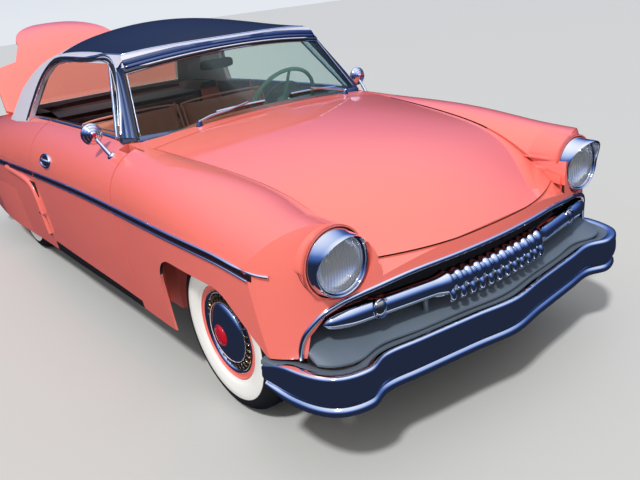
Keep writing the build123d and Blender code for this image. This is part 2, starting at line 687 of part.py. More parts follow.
lens_rim = Edge.make_line((lens_radius, 0, 0), (lens_radius, 0, 22))
lens_face = Edge.make_three_point_arc((lens_radius, 0, 22), (
    lens_radius / 2, 0, 22 + dome_rise - dome_radius + sqrt(dome_radius ** 2 - lens_radius ** 2 / 4)),
    (0, 0, 22 + dome_rise))
lens_axis = Edge.make_line((0, 0, 22 + dome_rise), (0, 0, 0))
lens = revolve(Face(Wire([lens_back, lens_rim, lens_face, lens_axis])), axis=Axis.Z)
nodes["headlamp_lenses"] = both_sides(Pos(lamp_x - 30, lamp_y, lamp_z) * Rot(0, 90, 0) * lens)

tail_lamp = Pos(tail_x + 160, 800, 700) * Rot(0, -90, 0) * Cylinder(
    64, 200, align=(Align.CENTER, Align.CENTER, Align.MIN))
tail_lamp += Pos(tail_x - 40, 800, 700) * Sphere(64)
nodes["tail_lamps"] = both_sides(tail_lamp - outer)

# Chassis frame
rail_inner = 365
rail_outer = 435
front_x = front_axle_x
rear_x = rear_axle_x
RAIL = [(front_x + 640, 400), (front_x - 260, 400), (front_x - 520, 268), (rear_x + 395, 268),
        (rear_x + 300, 508), (tail_x + 60, 508), (tail_x + 60, 430), (rear_x + 250, 430),
        (rear_x + 340, 180), (front_x - 560, 180), (front_x - 280, 310), (front_x + 640, 310)]
rail = side_prism(RAIL, rail_inner, rail_outer)
# Crossmembers: place, lowest and highest point, width along the car
CROSS = [(front_x + 600, 320, 390, 60), (front_x + 430, 330, 402, 70), (front_x, 230, 312, 160),
         (front_x - 640, 222, 266, 90), (front_x - 1500, 222, 266, 90), (rear_x + 520, 222, 266, 90),
         (rear_x - 480, 425, 500, 60), (tail_x + 90, 440, 500, 60)]
crossmembers = block(front_x - 80, front_x + 80, -rail_outer, rail_outer, 231, 330)
for x, z0, z1, width in CROSS:
    crossmembers += block(x - width / 2, x + width / 2, -rail_inner, rail_inner, z0, z1)
engine_mount = block(front_x - 40, front_x + 40, 180, 260, 300, 335)
arm_tower = block(front_x - 60, front_x + 60, rail_outer - 40, rail_outer, 390, 470)
front_iron = block(front_x + 630, front_x + 735, rail_inner, rail_outer, 335, 395)
rear_iron = block(rear_x - 1280, tail_x + 120, rail_inner, rail_outer, 340, 375)
rear_iron += block(tail_x + 60, tail_x + 120, rail_inner, rail_outer, 340, 440)
crossmembers += both_sides(engine_mount)
rail += arm_tower + front_iron + rear_iron
spring_y = 528
spring_half = 24
leaf = side_prism([(rear_x + 640, 218), (rear_x, 292), (rear_x - 650, 402), (rear_x - 650, 422),
                   (rear_x, 313), (rear_x + 640, 238)], spring_y - spring_half, spring_y + spring_half)
front_hanger = block(rear_x + 590, rear_x + 640, rail_outer, spring_y + spring_half, 236, 262)
rear_hanger = block(rear_x - 650, rear_x - 620, rail_outer, spring_y + spring_half, 405, 450)
rail += (front_hanger + rear_hanger) - leaf
rail -= bumper_layer(FRONT_OUTER_LINE, FRONT_INNER_LINE, bumper_low - 50, bumper_high + 50)
rail -= bumper_layer(REAR_OUTER_LINE, REAR_INNER_LINE, bumper_low - 50, bumper_high + 50)
nodes["chassis_rail_left"] = rail
nodes["chassis_rail_right"] = mirror(rail, about=Plane.XZ)
nodes["chassis_crossmembers"] = crossmembers - both_sides(rail)

# Engine, radiator, driveline, exhaust and tank
nodes["engine_block"] = block(front_x - 500, front_x + 240, -280, 280, 335, 870)
nodes["radiator"] = block(front_x + 400, front_x + 460, -330, 330, 402, 850)
shaft_z = tyre_radius + 5
gearbox = Pos(front_x - 500, 0, shaft_z) * Rot(0, -90, 0) * Cone(
    72, 50, 560, align=(Align.CENTER, Align.CENTER, Align.MIN))
shaft = Pos(front_x - 1050, 0, shaft_z) * Rot(0, -90, 0) * Cylinder(
    38, wheelbase - 1050 - 140, align=(Align.CENTER, Align.CENTER, Align.MIN))
nodes["driveline"] = gearbox + shaft

axle_tube = cross_rod(rear_x, -rear_track / 2 + 60, rear_track / 2 - 60, tyre_radius, 38)
axle_tube += cross_rod(rear_x, -rear_track / 2 - 40, rear_track / 2 + 40, tyre_radius, spindle_radius)
axle_tube += Pos(rear_x, 0, tyre_radius) * Sphere(140)
drum = cross_rod(rear_x, rear_track / 2 - 66, rear_track / 2 - 58, tyre_radius, 140)
axle_tube += both_sides(drum + leaf)
nodes["rear_axle"] = axle_tube

pipe_y = -306
pipe_z = 192
pipe_radius = 24
route = [(front_x - 150, pipe_y, 420), (front_x - 330, pipe_y, 420), (front_x - 520, pipe_y, pipe_z),
         (rear_x + 420, pipe_y, pipe_z), (rear_x + 120, pipe_y, 440), (rear_x - 220, pipe_y, 440),
         (rear_x - 560, pipe_y, 250), (tail_x - 40, pipe_y, 250)]
path = FilletPolyline(*route, radius=90)
pipe = sweep(Plane(origin=path @ 0, z_dir=path % 0) * Circle(pipe_radius), path=path)
pipe += Pos(front_x - 1900, pipe_y, pipe_z) * Rot(0, 90, 0) * Cylinder(50, 480)
pipe += block(front_x - 240, front_x - 170, pipe_y, -280, 400, 440)
for x in (front_x - 640, front_x - 1500):
    pipe += block(x - 15, x + 15, pipe_y - 10, pipe_y + 10, pipe_z, 222)
nodes["exhaust"] = pipe
nodes["fuel_tank"] = block(rear_x - 900, rear_x - 300, -230, 330, 300, 425)

# Seats, dashboard and steering
SEAT_FRONT = [(-150, 330), (-150, 545), (-180, 590), (-600, 560), (-700, 860), (-770, 880), (-830, 850),
              (-750, 470), (-720, 330)]
front_seat = side_prism([(front_x - 1010 + x, z) for x, z in SEAT_FRONT], -650, 650)
nodes["front_seat"] = front_seat - block(-length, length, -tunnel_half_width - 22,
                                         tunnel_half_width + 22, 0, tunnel_top + 22)
SEAT_REAR = [(900, 300), (900, 520), (860, 560), (540, 540), (480, 900), (456, 920), (456, 300)]
rear_seat = side_prism([(rear_x + x, z) for x, z in SEAT_REAR], -548, 548)
nodes["rear_seat"] = rear_seat - block(-length, length, -tunnel_half_width - 22,
                                       tunnel_half_width + 22, 0, tunnel_top + 22)

wheel_centre = Vector(front_x - 1168, 385, 1005)
wheel_rim = 222
column_tilt = 30
column_dir = Vector(cos(radians(column_tilt)), 0, -sin(radians(column_tilt)))
column_plane = Plane(origin=wheel_centre + column_dir * 50, z_dir=column_dir)
column_length = 590
column = column_plane * Cylinder(26, column_length, align=(Align.CENTER, Align.CENTER, Align.MIN))
column -= column_plane * Cylinder(10 + running_clearance, 120,
                                  align=(Align.CENTER, Align.CENTER, Align.MIN))
nodes["steering_column"] = column
wheel_plane = Plane(origin=wheel_centre, z_dir=column_dir)
steering = wheel_plane * Torus(wheel_rim, 11)
steering += wheel_plane * Cylinder(34, 42)
steering += wheel_plane * Cylinder(10, 150, align=(Align.CENTER, Align.CENTER, Align.MIN))
for turn in (0, 90, 180):
    steering += wheel_plane * Rot(0, 0, turn) * Pos(wheel_rim / 2, 0, 0) * Box(wheel_rim, 22, 10)
nodes["steering_wheel"] = steering

DASH = [(cowl_x - 115, 800), (cowl_x - 130, 940), (cowl_x - 100, 1012), (cowl_x - 0.2, 1030),
        (cowl_x - 0.2, 985), (cowl_x - 60, 975), (cowl_x - 60, 800)]
dash = side_prism(DASH, -pillar_half + 46, pillar_half - 46)
dash -= column_plane * Cylinder(44, 700, align=(Align.CENTER, Align.CENTER, Align.MIN))
nodes["dashboard"] = dash

# Front suspension and knuckles
arm_low_z = 246
arm_high_z = 440
arm_thick = 15
arms = None
for z in (arm_low_z, arm_high_z):
    arm_plate = plan_prism([(front_x - 120, rail_outer), (front_x + 120, rail_outer),
                            (front_x + 26, kingpin_half), (front_x - 26, kingpin_half)], z, z + arm_thick)
    arm_plate += Pos(front_x, kingpin_half, z + arm_thick / 2) * Cylinder(26, arm_thick)
    arm_plate -= Pos(front_x, kingpin_half, z + arm_thick / 2) * Cylinder(
        kingpin_radius + running_clearance, arm_thick + 2)
    arms = arm_plate if arms is None else arms + arm_plate
coil = Pos(front_x, 540, (arm_low_z + arm_high_z + arm_thick) / 2) * Cylinder(
    45, arm_high_z - arm_low_z - arm_thick)
nodes["front_suspension"] = both_sides(arms + coil)

post_low = arm_low_z + arm_thick + 0.3
post_high = arm_high_z - 0.3
knuckle = Pos(front_x, kingpin_half, (post_low + post_high) / 2) * Cylinder(22, post_high - post_low)
knuckle += Pos(front_x, kingpin_half, (arm_low_z + arm_high_z + arm_thick) / 2) * Cylinder(
    kingpin_radius, arm_high_z + arm_thick - arm_low_z)
knuckle += cross_rod(front_x, kingpin_half, front_track / 2 + 48, tyre_radius, spindle_radius)
nodes["knuckle_left"] = knuckle
nodes["knuckle_right"] = mirror(knuckle, about=Plane.XZ)


# Road wheels: outlines of (radius, distance outward from the wheel's middle plane)
def turned(outline, x, y):
    face = Face(Wire.make_polygon([Vector(r, 0, a) for r, a in outline], close=True))
    return Pos(x, y, tyre_radius) * Rot(-90, 0, 0) * revolve(face, axis=Axis.Z)


half_rim = rim_width / 2
bore = spindle_radius + running_clearance
WHEEL = [(bore, -28), (hub_radius, -28), (hub_radius, 4), (rim_radius - 14, 4),
         (rim_radius - 14, -half_rim), (rim_radius + 13, -half_rim - 3), (rim_radius + 13, -half_rim + 5),
         (rim_radius, -half_rim + 7), (rim_radius, half_rim - 7), (rim_radius + 13, half_rim - 5),
         (rim_radius + 13, half_rim + 3), (rim_radius - 14, half_rim), (rim_radius - 14, 34),
         (150, 44), (90, 66), (40, 84), (0, 88), (0, 56), (bore, 56)]
half_tyre = tyre_width / 2
TYRE = [(rim_radius + 0.1, -half_rim + 9), (rim_radius + 14, -half_rim + 6), (rim_radius + 38, -half_tyre),
        (tyre_radius - 32, -half_tyre + 4), (tyre_radius, -half_tyre + 42)]
tyre_outline = TYRE + [(r, -a) for r, a in reversed(TYRE)]
WHEELS = [("front", front_x, front_track / 2), ("rear", rear_x, rear_track / 2)]
for place, x, y in WHEELS:
    wheel = turned(WHEEL, x, y)
    tyre = turned(tyre_outline, x, y)
    for side, flip in (("left", False), ("right", True)):
        nodes[f"wheel_{place}_{side}"] = mirror(wheel, about=Plane.XZ) if flip else wheel
        nodes[f"tyre_{place}_{side}"] = mirror(tyre, about=Plane.XZ) if flip else tyre

os.makedirs("parts", exist_ok=True)
for name, shape in nodes.items():
    solids = shape.solids()
    export_step(Compound(children=list(solids)) if len(solids) > 1 else solids[0], f"parts/{name}.step")
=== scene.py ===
import math

import bpy
from mathutils import Matrix, Vector
from mathutils.bvhtree import BVHTree


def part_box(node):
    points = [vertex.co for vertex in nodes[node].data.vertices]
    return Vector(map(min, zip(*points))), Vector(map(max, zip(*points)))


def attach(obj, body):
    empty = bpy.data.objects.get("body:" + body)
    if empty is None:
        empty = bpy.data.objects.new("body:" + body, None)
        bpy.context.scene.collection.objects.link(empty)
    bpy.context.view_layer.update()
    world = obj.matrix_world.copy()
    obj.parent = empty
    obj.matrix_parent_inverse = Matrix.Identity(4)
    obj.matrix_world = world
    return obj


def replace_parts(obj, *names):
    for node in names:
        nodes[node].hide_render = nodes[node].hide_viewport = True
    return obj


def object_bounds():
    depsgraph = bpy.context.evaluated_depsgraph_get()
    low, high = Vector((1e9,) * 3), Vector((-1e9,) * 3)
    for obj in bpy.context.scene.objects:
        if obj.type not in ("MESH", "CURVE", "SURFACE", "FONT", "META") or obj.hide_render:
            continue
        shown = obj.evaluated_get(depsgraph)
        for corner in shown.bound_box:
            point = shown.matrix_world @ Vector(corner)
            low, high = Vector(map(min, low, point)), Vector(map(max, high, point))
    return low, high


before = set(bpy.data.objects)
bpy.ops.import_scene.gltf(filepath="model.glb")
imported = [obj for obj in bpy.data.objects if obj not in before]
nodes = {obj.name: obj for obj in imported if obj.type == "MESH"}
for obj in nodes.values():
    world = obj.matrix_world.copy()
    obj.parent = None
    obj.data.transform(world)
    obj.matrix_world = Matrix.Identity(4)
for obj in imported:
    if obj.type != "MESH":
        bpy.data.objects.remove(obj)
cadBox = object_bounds()
print("frame loaded:", len(nodes), "nodes")

# places along the car, in metres, worked out from the frame
frontAxleX = sum(p[0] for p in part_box("wheel_front_left")) / 2
rearAxleX = sum(p[0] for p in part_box("wheel_rear_left")) / 2
noseX = cadBox[1][0]
tyreLow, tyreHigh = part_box("tyre_front_left")
tyreRadius = (tyreHigh[2] - tyreLow[2]) / 2
sides = {"left": 1, "right": -1}


# colour and node helpers
def linear(hexColour):
    values = [int(hexColour[i:i + 2], 16) / 255 for i in (1, 3, 5)]
    return tuple(v / 12.92 if v <= 0.04045 else ((v + 0.055) / 1.055) ** 2.4 for v in values) + (1.0,)


# settings are inputs, by name or number, or properties; the node's first output goes to the socket in goesTo
def addNode(tree, kind, settings=None, links=None, goesTo=None):
    node = tree.nodes.new(kind)
    for key, value in (settings or {}).items():
        if isinstance(key, int) or key in node.inputs:
            node.inputs[key].default_value = value
        else:
            setattr(node, key, value)
    for key, source in (links or {}).items():
        tree.links.new(source, node.inputs[key])
    if goesTo:
        tree.links.new(node.outputs[0], goesTo)
    return node


def newMaterial(name, shader):
    material = bpy.data.materials.new(name)
    material.use_nodes = True
    tree = material.node_tree
    principled = tree.nodes["Principled BSDF"]
    for key, value in shader.items():
        principled.inputs[key].default_value = value
    return material, tree, principled


# the inner faces of a panel, which look inward or down, carry another colour instead of enamel:
# trim colour inside the cabin, painted black shade in the engine bay and wheelhouses; ahead of the place in
# enamelFrom and above it the enamel goes on
innerFacing = {"topSlope": 0.55, "turnedIn": -0.35}


def paintInner(tree, principled, outerColour, innerColour, enamelFrom):
    geometry = addNode(tree, "ShaderNodeNewGeometry")
    coords = addNode(tree, "ShaderNodeTexCoord").outputs["Object"]
    facing = addNode(tree, "ShaderNodeSeparateXYZ", links={"Vector": geometry.outputs["True Normal"]})
    place = addNode(tree, "ShaderNodeSeparateXYZ", links={"Vector": coords})
    sideSign = addNode(tree, "ShaderNodeMath", {"operation": "SIGN"}, {0: place.outputs["Y"]})
    outward = addNode(tree, "ShaderNodeMath", {"operation": "MULTIPLY"},
                      {0: facing.outputs["Y"], 1: sideSign.outputs[0]})
    slope = addNode(tree, "ShaderNodeMath", {"operation": "SUBTRACT", 1: innerFacing["topSlope"]},
                    {0: facing.outputs["Z"]})
    inward = addNode(tree, "ShaderNodeMath", {"operation": "MAXIMUM"},
                     {0: outward.outputs[0], 1: slope.outputs[0]})
    lowest = addNode(tree, "ShaderNodeMath", {"operation": "MINIMUM"},
                     {0: inward.outputs[0], 1: facing.outputs["Z"]})
    # faces turned inward or down; a black innerColour on them is painted shade
    turned = addNode(tree, "ShaderNodeMath", {"operation": "LESS_THAN", 1: innerFacing["turnedIn"]},
                     {0: lowest.outputs[0]})
    behind = addNode(tree, "ShaderNodeMath", {"operation": "LESS_THAN", 1: enamelFrom[0]},
                     {0: place.outputs["X"]})
    under = addNode(tree, "ShaderNodeMath", {"operation": "LESS_THAN", 1: enamelFrom[1]},
                    {0: place.outputs["Z"]})
    either = addNode(tree, "ShaderNodeMath", {"operation": "MAXIMUM"},
                     {0: behind.outputs[0], 1: under.outputs[0]})
    inner = addNode(tree, "ShaderNodeMath", {"operation": "MULTIPLY"},
                    {0: turned.outputs[0], 1: either.outputs[0]})
    choose = addNode(tree, "ShaderNodeMix", {"data_type": "RGBA", 7: linear(innerColour)},
                     {"Factor": inner.outputs[0], 6: outerColour})
    tree.links.new(choose.outputs[2], principled.inputs["Base Color"])
    addNode(tree, "ShaderNodeMath", {"operation": "SUBTRACT", 0: 1.0}, {1: inner.outputs[0]},
            principled.inputs["Coat Weight"])


# enamel: sprayed and polished two-coat paint, so a clear coat over a soft colour, with 5 mm orange peel
def enamelPaint(name, colour, shadeColour, innerColour=None, coat=0.7, enamelFrom=(9.0, 9.0)):
    material, tree, principled = newMaterial(name, {
        "Roughness": 0.36, "IOR": 1.45, "Coat Weight": coat, "Coat Roughness": 0.03})
    coords = addNode(tree, "ShaderNodeTexCoord").outputs["Object"]
    patches = addNode(tree, "ShaderNodeTexNoise", {"Scale": 1.3, "Detail": 2.0}, {"Vector": coords})
    mix = addNode(tree, "ShaderNodeMix", {"data_type": "RGBA", 6: linear(colour), 7: linear(shadeColour)},
                  {"Factor": patches.outputs["Fac"]})
    tree.links.new(mix.outputs[2], principled.inputs["Base Color"])
    if innerColour:
        paintInner(tree, principled, mix.outputs[2], innerColour, enamelFrom)
    peel = addNode(tree, "ShaderNodeTexNoise", {"Scale": 180.0, "Detail": 1.0}, {"Vector": coords})
    addNode(tree, "ShaderNodeBump", {"Strength": 0.02, "Distance": 0.0005}, {"Height": peel.outputs["Fac"]},
            principled.inputs["Normal"])
    return material


# chromium plate: polished, with hazy patches about 70 mm wide where it is wiped
def chromePlate(name, colour="#E9EBEF", rough=0.05):
    material, tree, principled = newMaterial(name, {"Base Color": linear(colour), "Metallic": 1.0})
    coords = addNode(tree, "ShaderNodeTexCoord").outputs["Object"]
    haze = addNode(tree, "ShaderNodeTexNoise", {"Scale": 14.0, "Detail": 3.0}, {"Vector": coords})
    addNode(tree, "ShaderNodeMapRange", {"To Min": rough * 0.6, "To Max": rough * 1.7},
            {"Value": haze.outputs["Fac"]}, principled.inputs["Roughness"])
    return material


# satin paint over steel: fine grain of the sprayed metal flake, 2.5 mm unless given, coarse enough to show
def satinPaint(name, colour, rough=0.42, metallic=0.0, grain=400.0, strength=0.05):
    material, tree, principled = newMaterial(name, {
        "Base Color": linear(colour), "Metallic": metallic, "Roughness": rough})
    coords = addNode(tree, "ShaderNodeTexCoord").outputs["Object"]
    flake = addNode(tree, "ShaderNodeTexNoise", {"Scale": grain, "Detail": 2.0}, {"Vector": coords})
    addNode(tree, "ShaderNodeBump", {"Strength": strength, "Distance": 0.0004},
            {"Height": flake.outputs["Fac"]}, principled.inputs["Normal"])
    return material


# soda-lime plate glass: clear, faint green, mirroring more towards its edges
def plateGlass(name, colour, mirrorShare, rough=0.0):
    material, tree, principled = newMaterial(name, {})
    tree.nodes.remove(principled)
    clear = addNode(tree, "ShaderNodeBsdfTransparent", {"Color": linear(colour)})
    gloss = addNode(tree, "ShaderNodeBsdfGlossy", {"Roughness": rough})
    edgeOn = addNode(tree, "ShaderNodeLayerWeight", {"Blend": 0.35})
    share = addNode(tree, "ShaderNodeMath", {"operation": "MULTIPLY", 1: mirrorShare},
                    {0: edgeOn.outputs["Fresnel"]})
    addNode(tree, "ShaderNodeMixShader", None,
            {"Fac": share.outputs[0], 1: clear.outputs[0], 2: gloss.outputs[0]},
            tree.nodes["Material Output"].inputs["Surface"])
    return material


coral = ("#F97D70", "#F77568")
paint = enamelPaint("coral enamel", *coral)
# black on faces turned inward or down is painted shade under the hood and behind the nose
panelPaint = enamelPaint("coral enamel with black undercoat behind", *coral, "#0C0A0A")
# black on faces turned inward or down is painted shade in the wheelhouses behind the lamps
lampPaint = enamelPaint("coral enamel with black wheelhouses", *coral, "#0C0A0A", enamelFrom=(1.95, 0.66))
quarterPaint = enamelPaint("coral enamel with maroon trimmed inner faces", *coral, "#43191D")
doorPaint = enamelPaint("coral enamel with painted inner faces", *coral, "#8FB09F")
roofNavy = enamelPaint("navy roof enamel", "#060D20", "#050B1A", coat=0.1)
roofNavy.node_tree.nodes["Principled BSDF"].inputs["Specular IOR Level"].default_value = 0.16
roofGrey = enamelPaint("pale grey roof enamel", "#DCD8E2", "#D4D1DE")


# another colour where every one of the limits holds, each an axis, a comparison and a place in metres
def shadeWhere(material, limits, shade):
    tree = material.node_tree
    base = tree.nodes["Principled BSDF"].inputs["Base Color"]
    coords = addNode(tree, "ShaderNodeTexCoord").outputs["Object"]
    place = addNode(tree, "ShaderNodeSeparateXYZ", links={"Vector": coords})
    share = None
    for axis, comparison, limit in limits:
        within = addNode(tree, "ShaderNodeMath", {"operation": comparison, 1: limit}, {0: place.outputs[axis]})
        share = within if share is None else addNode(
            tree, "ShaderNodeMath", {"operation": "MULTIPLY"}, {0: share.outputs[0], 1: within.outputs[0]})
    mix = addNode(tree, "ShaderNodeMix", {"data_type": "RGBA", 7: linear(shade)},
                  {"Factor": share.outputs[0], 6: base.links[0].from_socket})
    tree.links.new(mix.outputs[2], base)


# windscreen posts below the header carry a painted blue-black reflection, like the plate laid on them, and the
# rear deck is maroon inside the rear window
shadeWhere(roofGrey, [("X", "GREATER_THAN", 0.2), ("Z", "LESS_THAN", 1.36)], "#141C38")
deckPaint = enamelPaint("coral enamel on the rear deck", *coral)
shadeWhere(deckPaint, [("X", "GREATER_THAN", -1.236)], "#3A1519")
chrome = chromePlate("bumper chrome plate")
satinSilver = satinPaint("silver gravel pan paint", "#66727F", 0.42, 0.2)
chassisBlackAndScoopShade = satinPaint("chassis black paint", "#14120F", 0.55)
castIron = satinPaint("cast iron engine enamel", "#3B4046", 0.6, 0.2, 90.0, 0.25)
pipeSteel = satinPaint("rolled exhaust steel", "#6B6560", 0.45, 0.9, 60.0, 0.1)
glassPane = plateGlass("windscreen plate glass", "#E6F1EC", 0.13)
lampGlass = plateGlass("pressed lamp glass", "#F4F8FA", 0.5, 0.03)
redLens = newMaterial("moulded red acrylic lens", {"Base Color": linear("#B01018"), "Roughness": 0.12})[0]
tyreRubber = satinPaint("vulcanised tyre rubber", "#1C1B1A", 0.75, 0.0, 260.0, 0.2)
acetate = satinPaint("sea green moulded acetate", "#A9D8C2", 0.22, 0.0, 30.0, 0.02)
acetate.node_tree.nodes["Principled BSDF"].inputs["Coat Weight"].default_value = 0.6
dashPaint = satinPaint("dark green dash enamel", "#22302F", 0.3)
hideTan = satinPaint("tan coated upholstery cloth", "#9C5A45", 0.5, 0.0, 500.0, 0.2)
print("materials made")

# finish of each CAD node, those that a finer piece replaces included
cadFinish = [
    (paint, ["deck_lid", "cowl", "fender_skirts", "tail_panel", "wheel_front_left", "wheel_front_right",
             "wheel_rear_left", "wheel_rear_right"]),
    (deckPaint, ["rear_deck"]),
    (quarterPaint, ["quarter_panel_left", "quarter_panel_right"]),
    (panelPaint, ["hood", "nose_panel"]),
    (lampPaint, ["front_fender_left", "front_fender_right"]),
    (doorPaint, ["door_left", "door_right"]),
    (chassisBlackAndScoopShade, ["chassis_rail_left", "chassis_rail_right", "chassis_crossmembers", "driveline", "rear_axle",
                    "front_suspension", "knuckle_left", "knuckle_right", "radiator", "fuel_tank", "floor_pan",
                    "trunk_floor"]),
    (chrome, ["grille_bar", "front_bumper", "rear_bumper", "headlamp_bezels", "mirror_left", "mirror_right"]),
    (glassPane, ["windscreen", "rear_window", "vent_window_left", "vent_window_right"]),
    (lampGlass, ["headlamp_lenses"]),
    (satinSilver, ["gravel_pan"]),
    (castIron, ["engine_block"]),
    (pipeSteel, ["exhaust"]),
    (redLens, ["tail_lamps"]),
    (tyreRubber, ["tyre_front_left", "tyre_front_right", "tyre_rear_left", "tyre_rear_right"]),
    (acetate, ["steering_wheel"]),
    (dashPaint, ["dashboard", "steering_column"]),
    (hideTan, ["front_seat", "rear_seat"]),
    (roofGrey, ["roof"]),
]
for material, names in cadFinish:
    for name in names:
        mesh = nodes[name].data
        mesh.materials.clear()
        mesh.materials.append(material)
print("CAD nodes finished")

# camera, found from the wheels, lamps and left-right symmetry of the car in the picture
camera = {"place": (3.9734, -1.8866, 1.6206), "azimuth": 144.503, "elevation": -20.611, "roll": -6.830,
          "focal": 666.217, "frameWidth": 640, "frameHeight": 480, "sensor": 36.0}
azimuth, elevation, roll = (math.radians(camera[k]) for k in ("azimuth", "elevation", "roll"))
forward = Vector((math.cos(elevation) * math.cos(azimuth), math.cos(elevation) * math.sin(azimuth),
                  math.sin(elevation)))
right = forward.cross(Vector((0, 0, 1))).normalized()
up = right.cross(forward)
cameraRight = math.cos(roll) * right + math.sin(roll) * up
cameraUp = -math.sin(roll) * right + math.cos(roll) * up
cameraData = bpy.data.cameras.new("camera")
cameraData.sensor_width = camera["sensor"]
cameraData.lens = camera["focal"] * cameraData.sensor_width / camera["frameWidth"]
cameraObject = bpy.data.objects.new("camera", cameraData)
cameraObject.matrix_world = Matrix.Translation(camera["place"]) @ Matrix(
    (cameraRight, cameraUp, -forward)).transposed().to_4x4()
bpy.context.scene.collection.objects.link(cameraObject)
bpy.context.scene.camera = cameraObject

# floor, sky and sun; polished parts mirror a deeper sky and dark paving, as they do outdoors
studio = {"floorColour": "#C2C2BF", "floorHalf": 60.0, "mirroredFloor": "#242C42",
          "sky": [(0.0, "#E4E9F0"), (0.7, "#5E86C4")],
          "mirroredSky": [(0.0, "#1D2434"), (0.16, "#25365E"), (0.40, "#4A68AE"), (0.62, "#9DB2E0"),
                          (1.0, "#F2F5FC")],
          "mirrorStrength": 1.25, "fill": "#FFFFFF", "fillStrength": 0.62,
          "sunStrength": 2.5, "sunDegrees": 6, "sunFrom": (0.35, -0.55, 1.0)}
half = studio["floorHalf"]
floorMesh = bpy.data.meshes.new("floor")
floorMesh.from_pydata([(-half, -half, 0), (half, -half, 0), (half, half, 0), (-half, half, 0)], [],
                      [(0, 1, 2, 3)])
floor = bpy.data.objects.new("floor", floorMesh)
bpy.context.scene.collection.objects.link(floor)
floorPaint = satinPaint("pale floor paint", studio["floorColour"], 0.6, 0.0, 40.0, 0.05)
floorTree = floorPaint.node_tree
paving = addNode(floorTree, "ShaderNodeEmission", {"Color": linear(studio["mirroredFloor"])})
floorPath = addNode(floorTree, "ShaderNodeLightPath")
addNode(floorTree, "ShaderNodeMixShader", None,
        {"Fac": floorPath.outputs["Is Glossy Ray"], 1: floorTree.nodes["Principled BSDF"].outputs[0],
         2: paving.outputs[0]}, floorTree.nodes["Material Output"].inputs["Surface"])
floorMesh.materials.append(floorPaint)

world = bpy.data.worlds.new("studio")
world.use_nodes = True
bpy.context.scene.world = world
worldTree = world.node_tree
worldTree.nodes.clear()
direction = addNode(worldTree, "ShaderNodeTexCoord").outputs["Generated"]
height = addNode(worldTree, "ShaderNodeSeparateXYZ", links={"Vector": direction}).outputs["Z"]
ramps = {}
for label in ("sky", "mirroredSky"):
    ramps[label] = addNode(worldTree, "ShaderNodeValToRGB", links={"Fac": height})
    elements = ramps[label].color_ramp.elements
    while len(elements) < len(studio[label]):
        elements.new(0.5)
    for element, (place, shade) in zip(elements, studio[label]):
        element.position = place
        element.color = linear(shade)
skyShown = addNode(worldTree, "ShaderNodeBackground", {"Strength": 1.0},
                   {"Color": ramps["sky"].outputs["Color"]})
skyFill = addNode(worldTree, "ShaderNodeBackground",
                  {"Color": linear(studio["fill"]), "Strength": studio["fillStrength"]})
skyMirrored = addNode(worldTree, "ShaderNodeBackground", {"Strength": studio["mirrorStrength"]},
                      {"Color": ramps["mirroredSky"].outputs["Color"]})
path = addNode(worldTree, "ShaderNodeLightPath")
seen = addNode(worldTree, "ShaderNodeMath", {"operation": "MAXIMUM"},
               {0: path.outputs["Is Camera Ray"], 1: path.outputs["Is Transmission Ray"]})
direct = addNode(worldTree, "ShaderNodeMixShader", None,
                 {"Fac": seen.outputs[0], 1: skyFill.outputs[0], 2: skyShown.outputs[0]})
blend = addNode(worldTree, "ShaderNodeMixShader", None,
                {"Fac": path.outputs["Is Glossy Ray"], 1: direct.outputs[0], 2: skyMirrored.outputs[0]})
addNode(worldTree, "ShaderNodeOutputWorld", links={"Surface": blend.outputs[0]})

sunData = bpy.data.lights.new("sun", "SUN")
sunData.energy = studio["sunStrength"]
sunData.angle = math.radians(studio["sunDegrees"])
sun = bpy.data.objects.new("sun", sunData)
sun.rotation_euler = Vector(studio["sunFrom"]).to_track_quat("Z", "Y").to_euler()
bpy.context.scene.collection.objects.link(sun)
print("camera and light set")


# trees of the painted panels, so that trim sits on what carries it
def surfaceTree(names):
    vertices, polygons = [], []
    for name in names:
        mesh = nodes[name].data
        start = len(vertices)
        vertices += [v.co.copy() for v in mesh.vertices]
        polygons += [[start + i for i in p.vertices] for p in mesh.polygons]
    return BVHTree.FromPolygons(vertices, polygons)


sideTrees = {side: surfaceTree([f"door_{side}", f"front_fender_{side}", f"quarter_panel_{side}",
                                "fender_skirts"])
             for side in sides}
topTree = surfaceTree(["hood", "cowl", "front_fender_left", "front_fender_right", "door_left", "door_right",
                       "quarter_panel_left", "quarter_panel_right", "rear_deck", "nose_panel"])
roofTree = surfaceTree(["roof", "windscreen", "rear_window"])
noseTree = surfaceTree(["front_fender_left", "front_fender_right", "nose_panel", "hood"])


# rays from the side, from above and from the front; the first and the last turn the normal towards them
def castSide(tree, x, z, side, reach=2.0):
    hit, normal, _, _ = tree.ray_cast(Vector((x, sides[side] * reach, z)), Vector((0, -sides[side], 0)))
    return hit, (-normal if hit is not None and normal.y * sides[side] <= 0 else normal)


def castDown(tree, x, y, top=2.0):
    hit, normal, _, _ = tree.ray_cast(Vector((x, y, top)), Vector((0, 0, -1)))
    return hit, normal


def castBack(tree, y, z, start=4.0):
    hit, normal, _, _ = tree.ray_cast(Vector((start, y, z)), Vector((-1, 0, 0)))
    return hit, (-normal if hit is not None and normal.x <= 0 else normal)


# smooth line through given points
def smoothLine(points, steps=8):
    points = [Vector(p) for p in points]
    padded = [2 * points[0] - points[1]] + points + [2 * points[-1] - points[-2]]
    line = []
    for i in range(1, len(padded) - 2):
        a, b, c, d = padded[i - 1:i + 3]
        for k in range(steps):
            t = k / steps
            line.append(0.5 * ((2 * b) + (c - a) * t + (2 * a - 5 * b + 4 * c - d) * t * t
                               + (3 * b - a - 3 * c + d) * t ** 3))
    line.append(points[-1])
    return line


def addPiece(name, vertices, faces, material, body, smooth=True):
    mesh = bpy.data.meshes.new(name)
    mesh.from_pydata([tuple(v) for v in vertices], [], faces)
    mesh.validate()
    for polygon in mesh.polygons:
        polygon.use_smooth = smooth
    mesh.materials.append(material)
    piece = bpy.data.objects.new(name, mesh)
    bpy.context.scene.collection.objects.link(piece)
    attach(piece, body)
    return piece


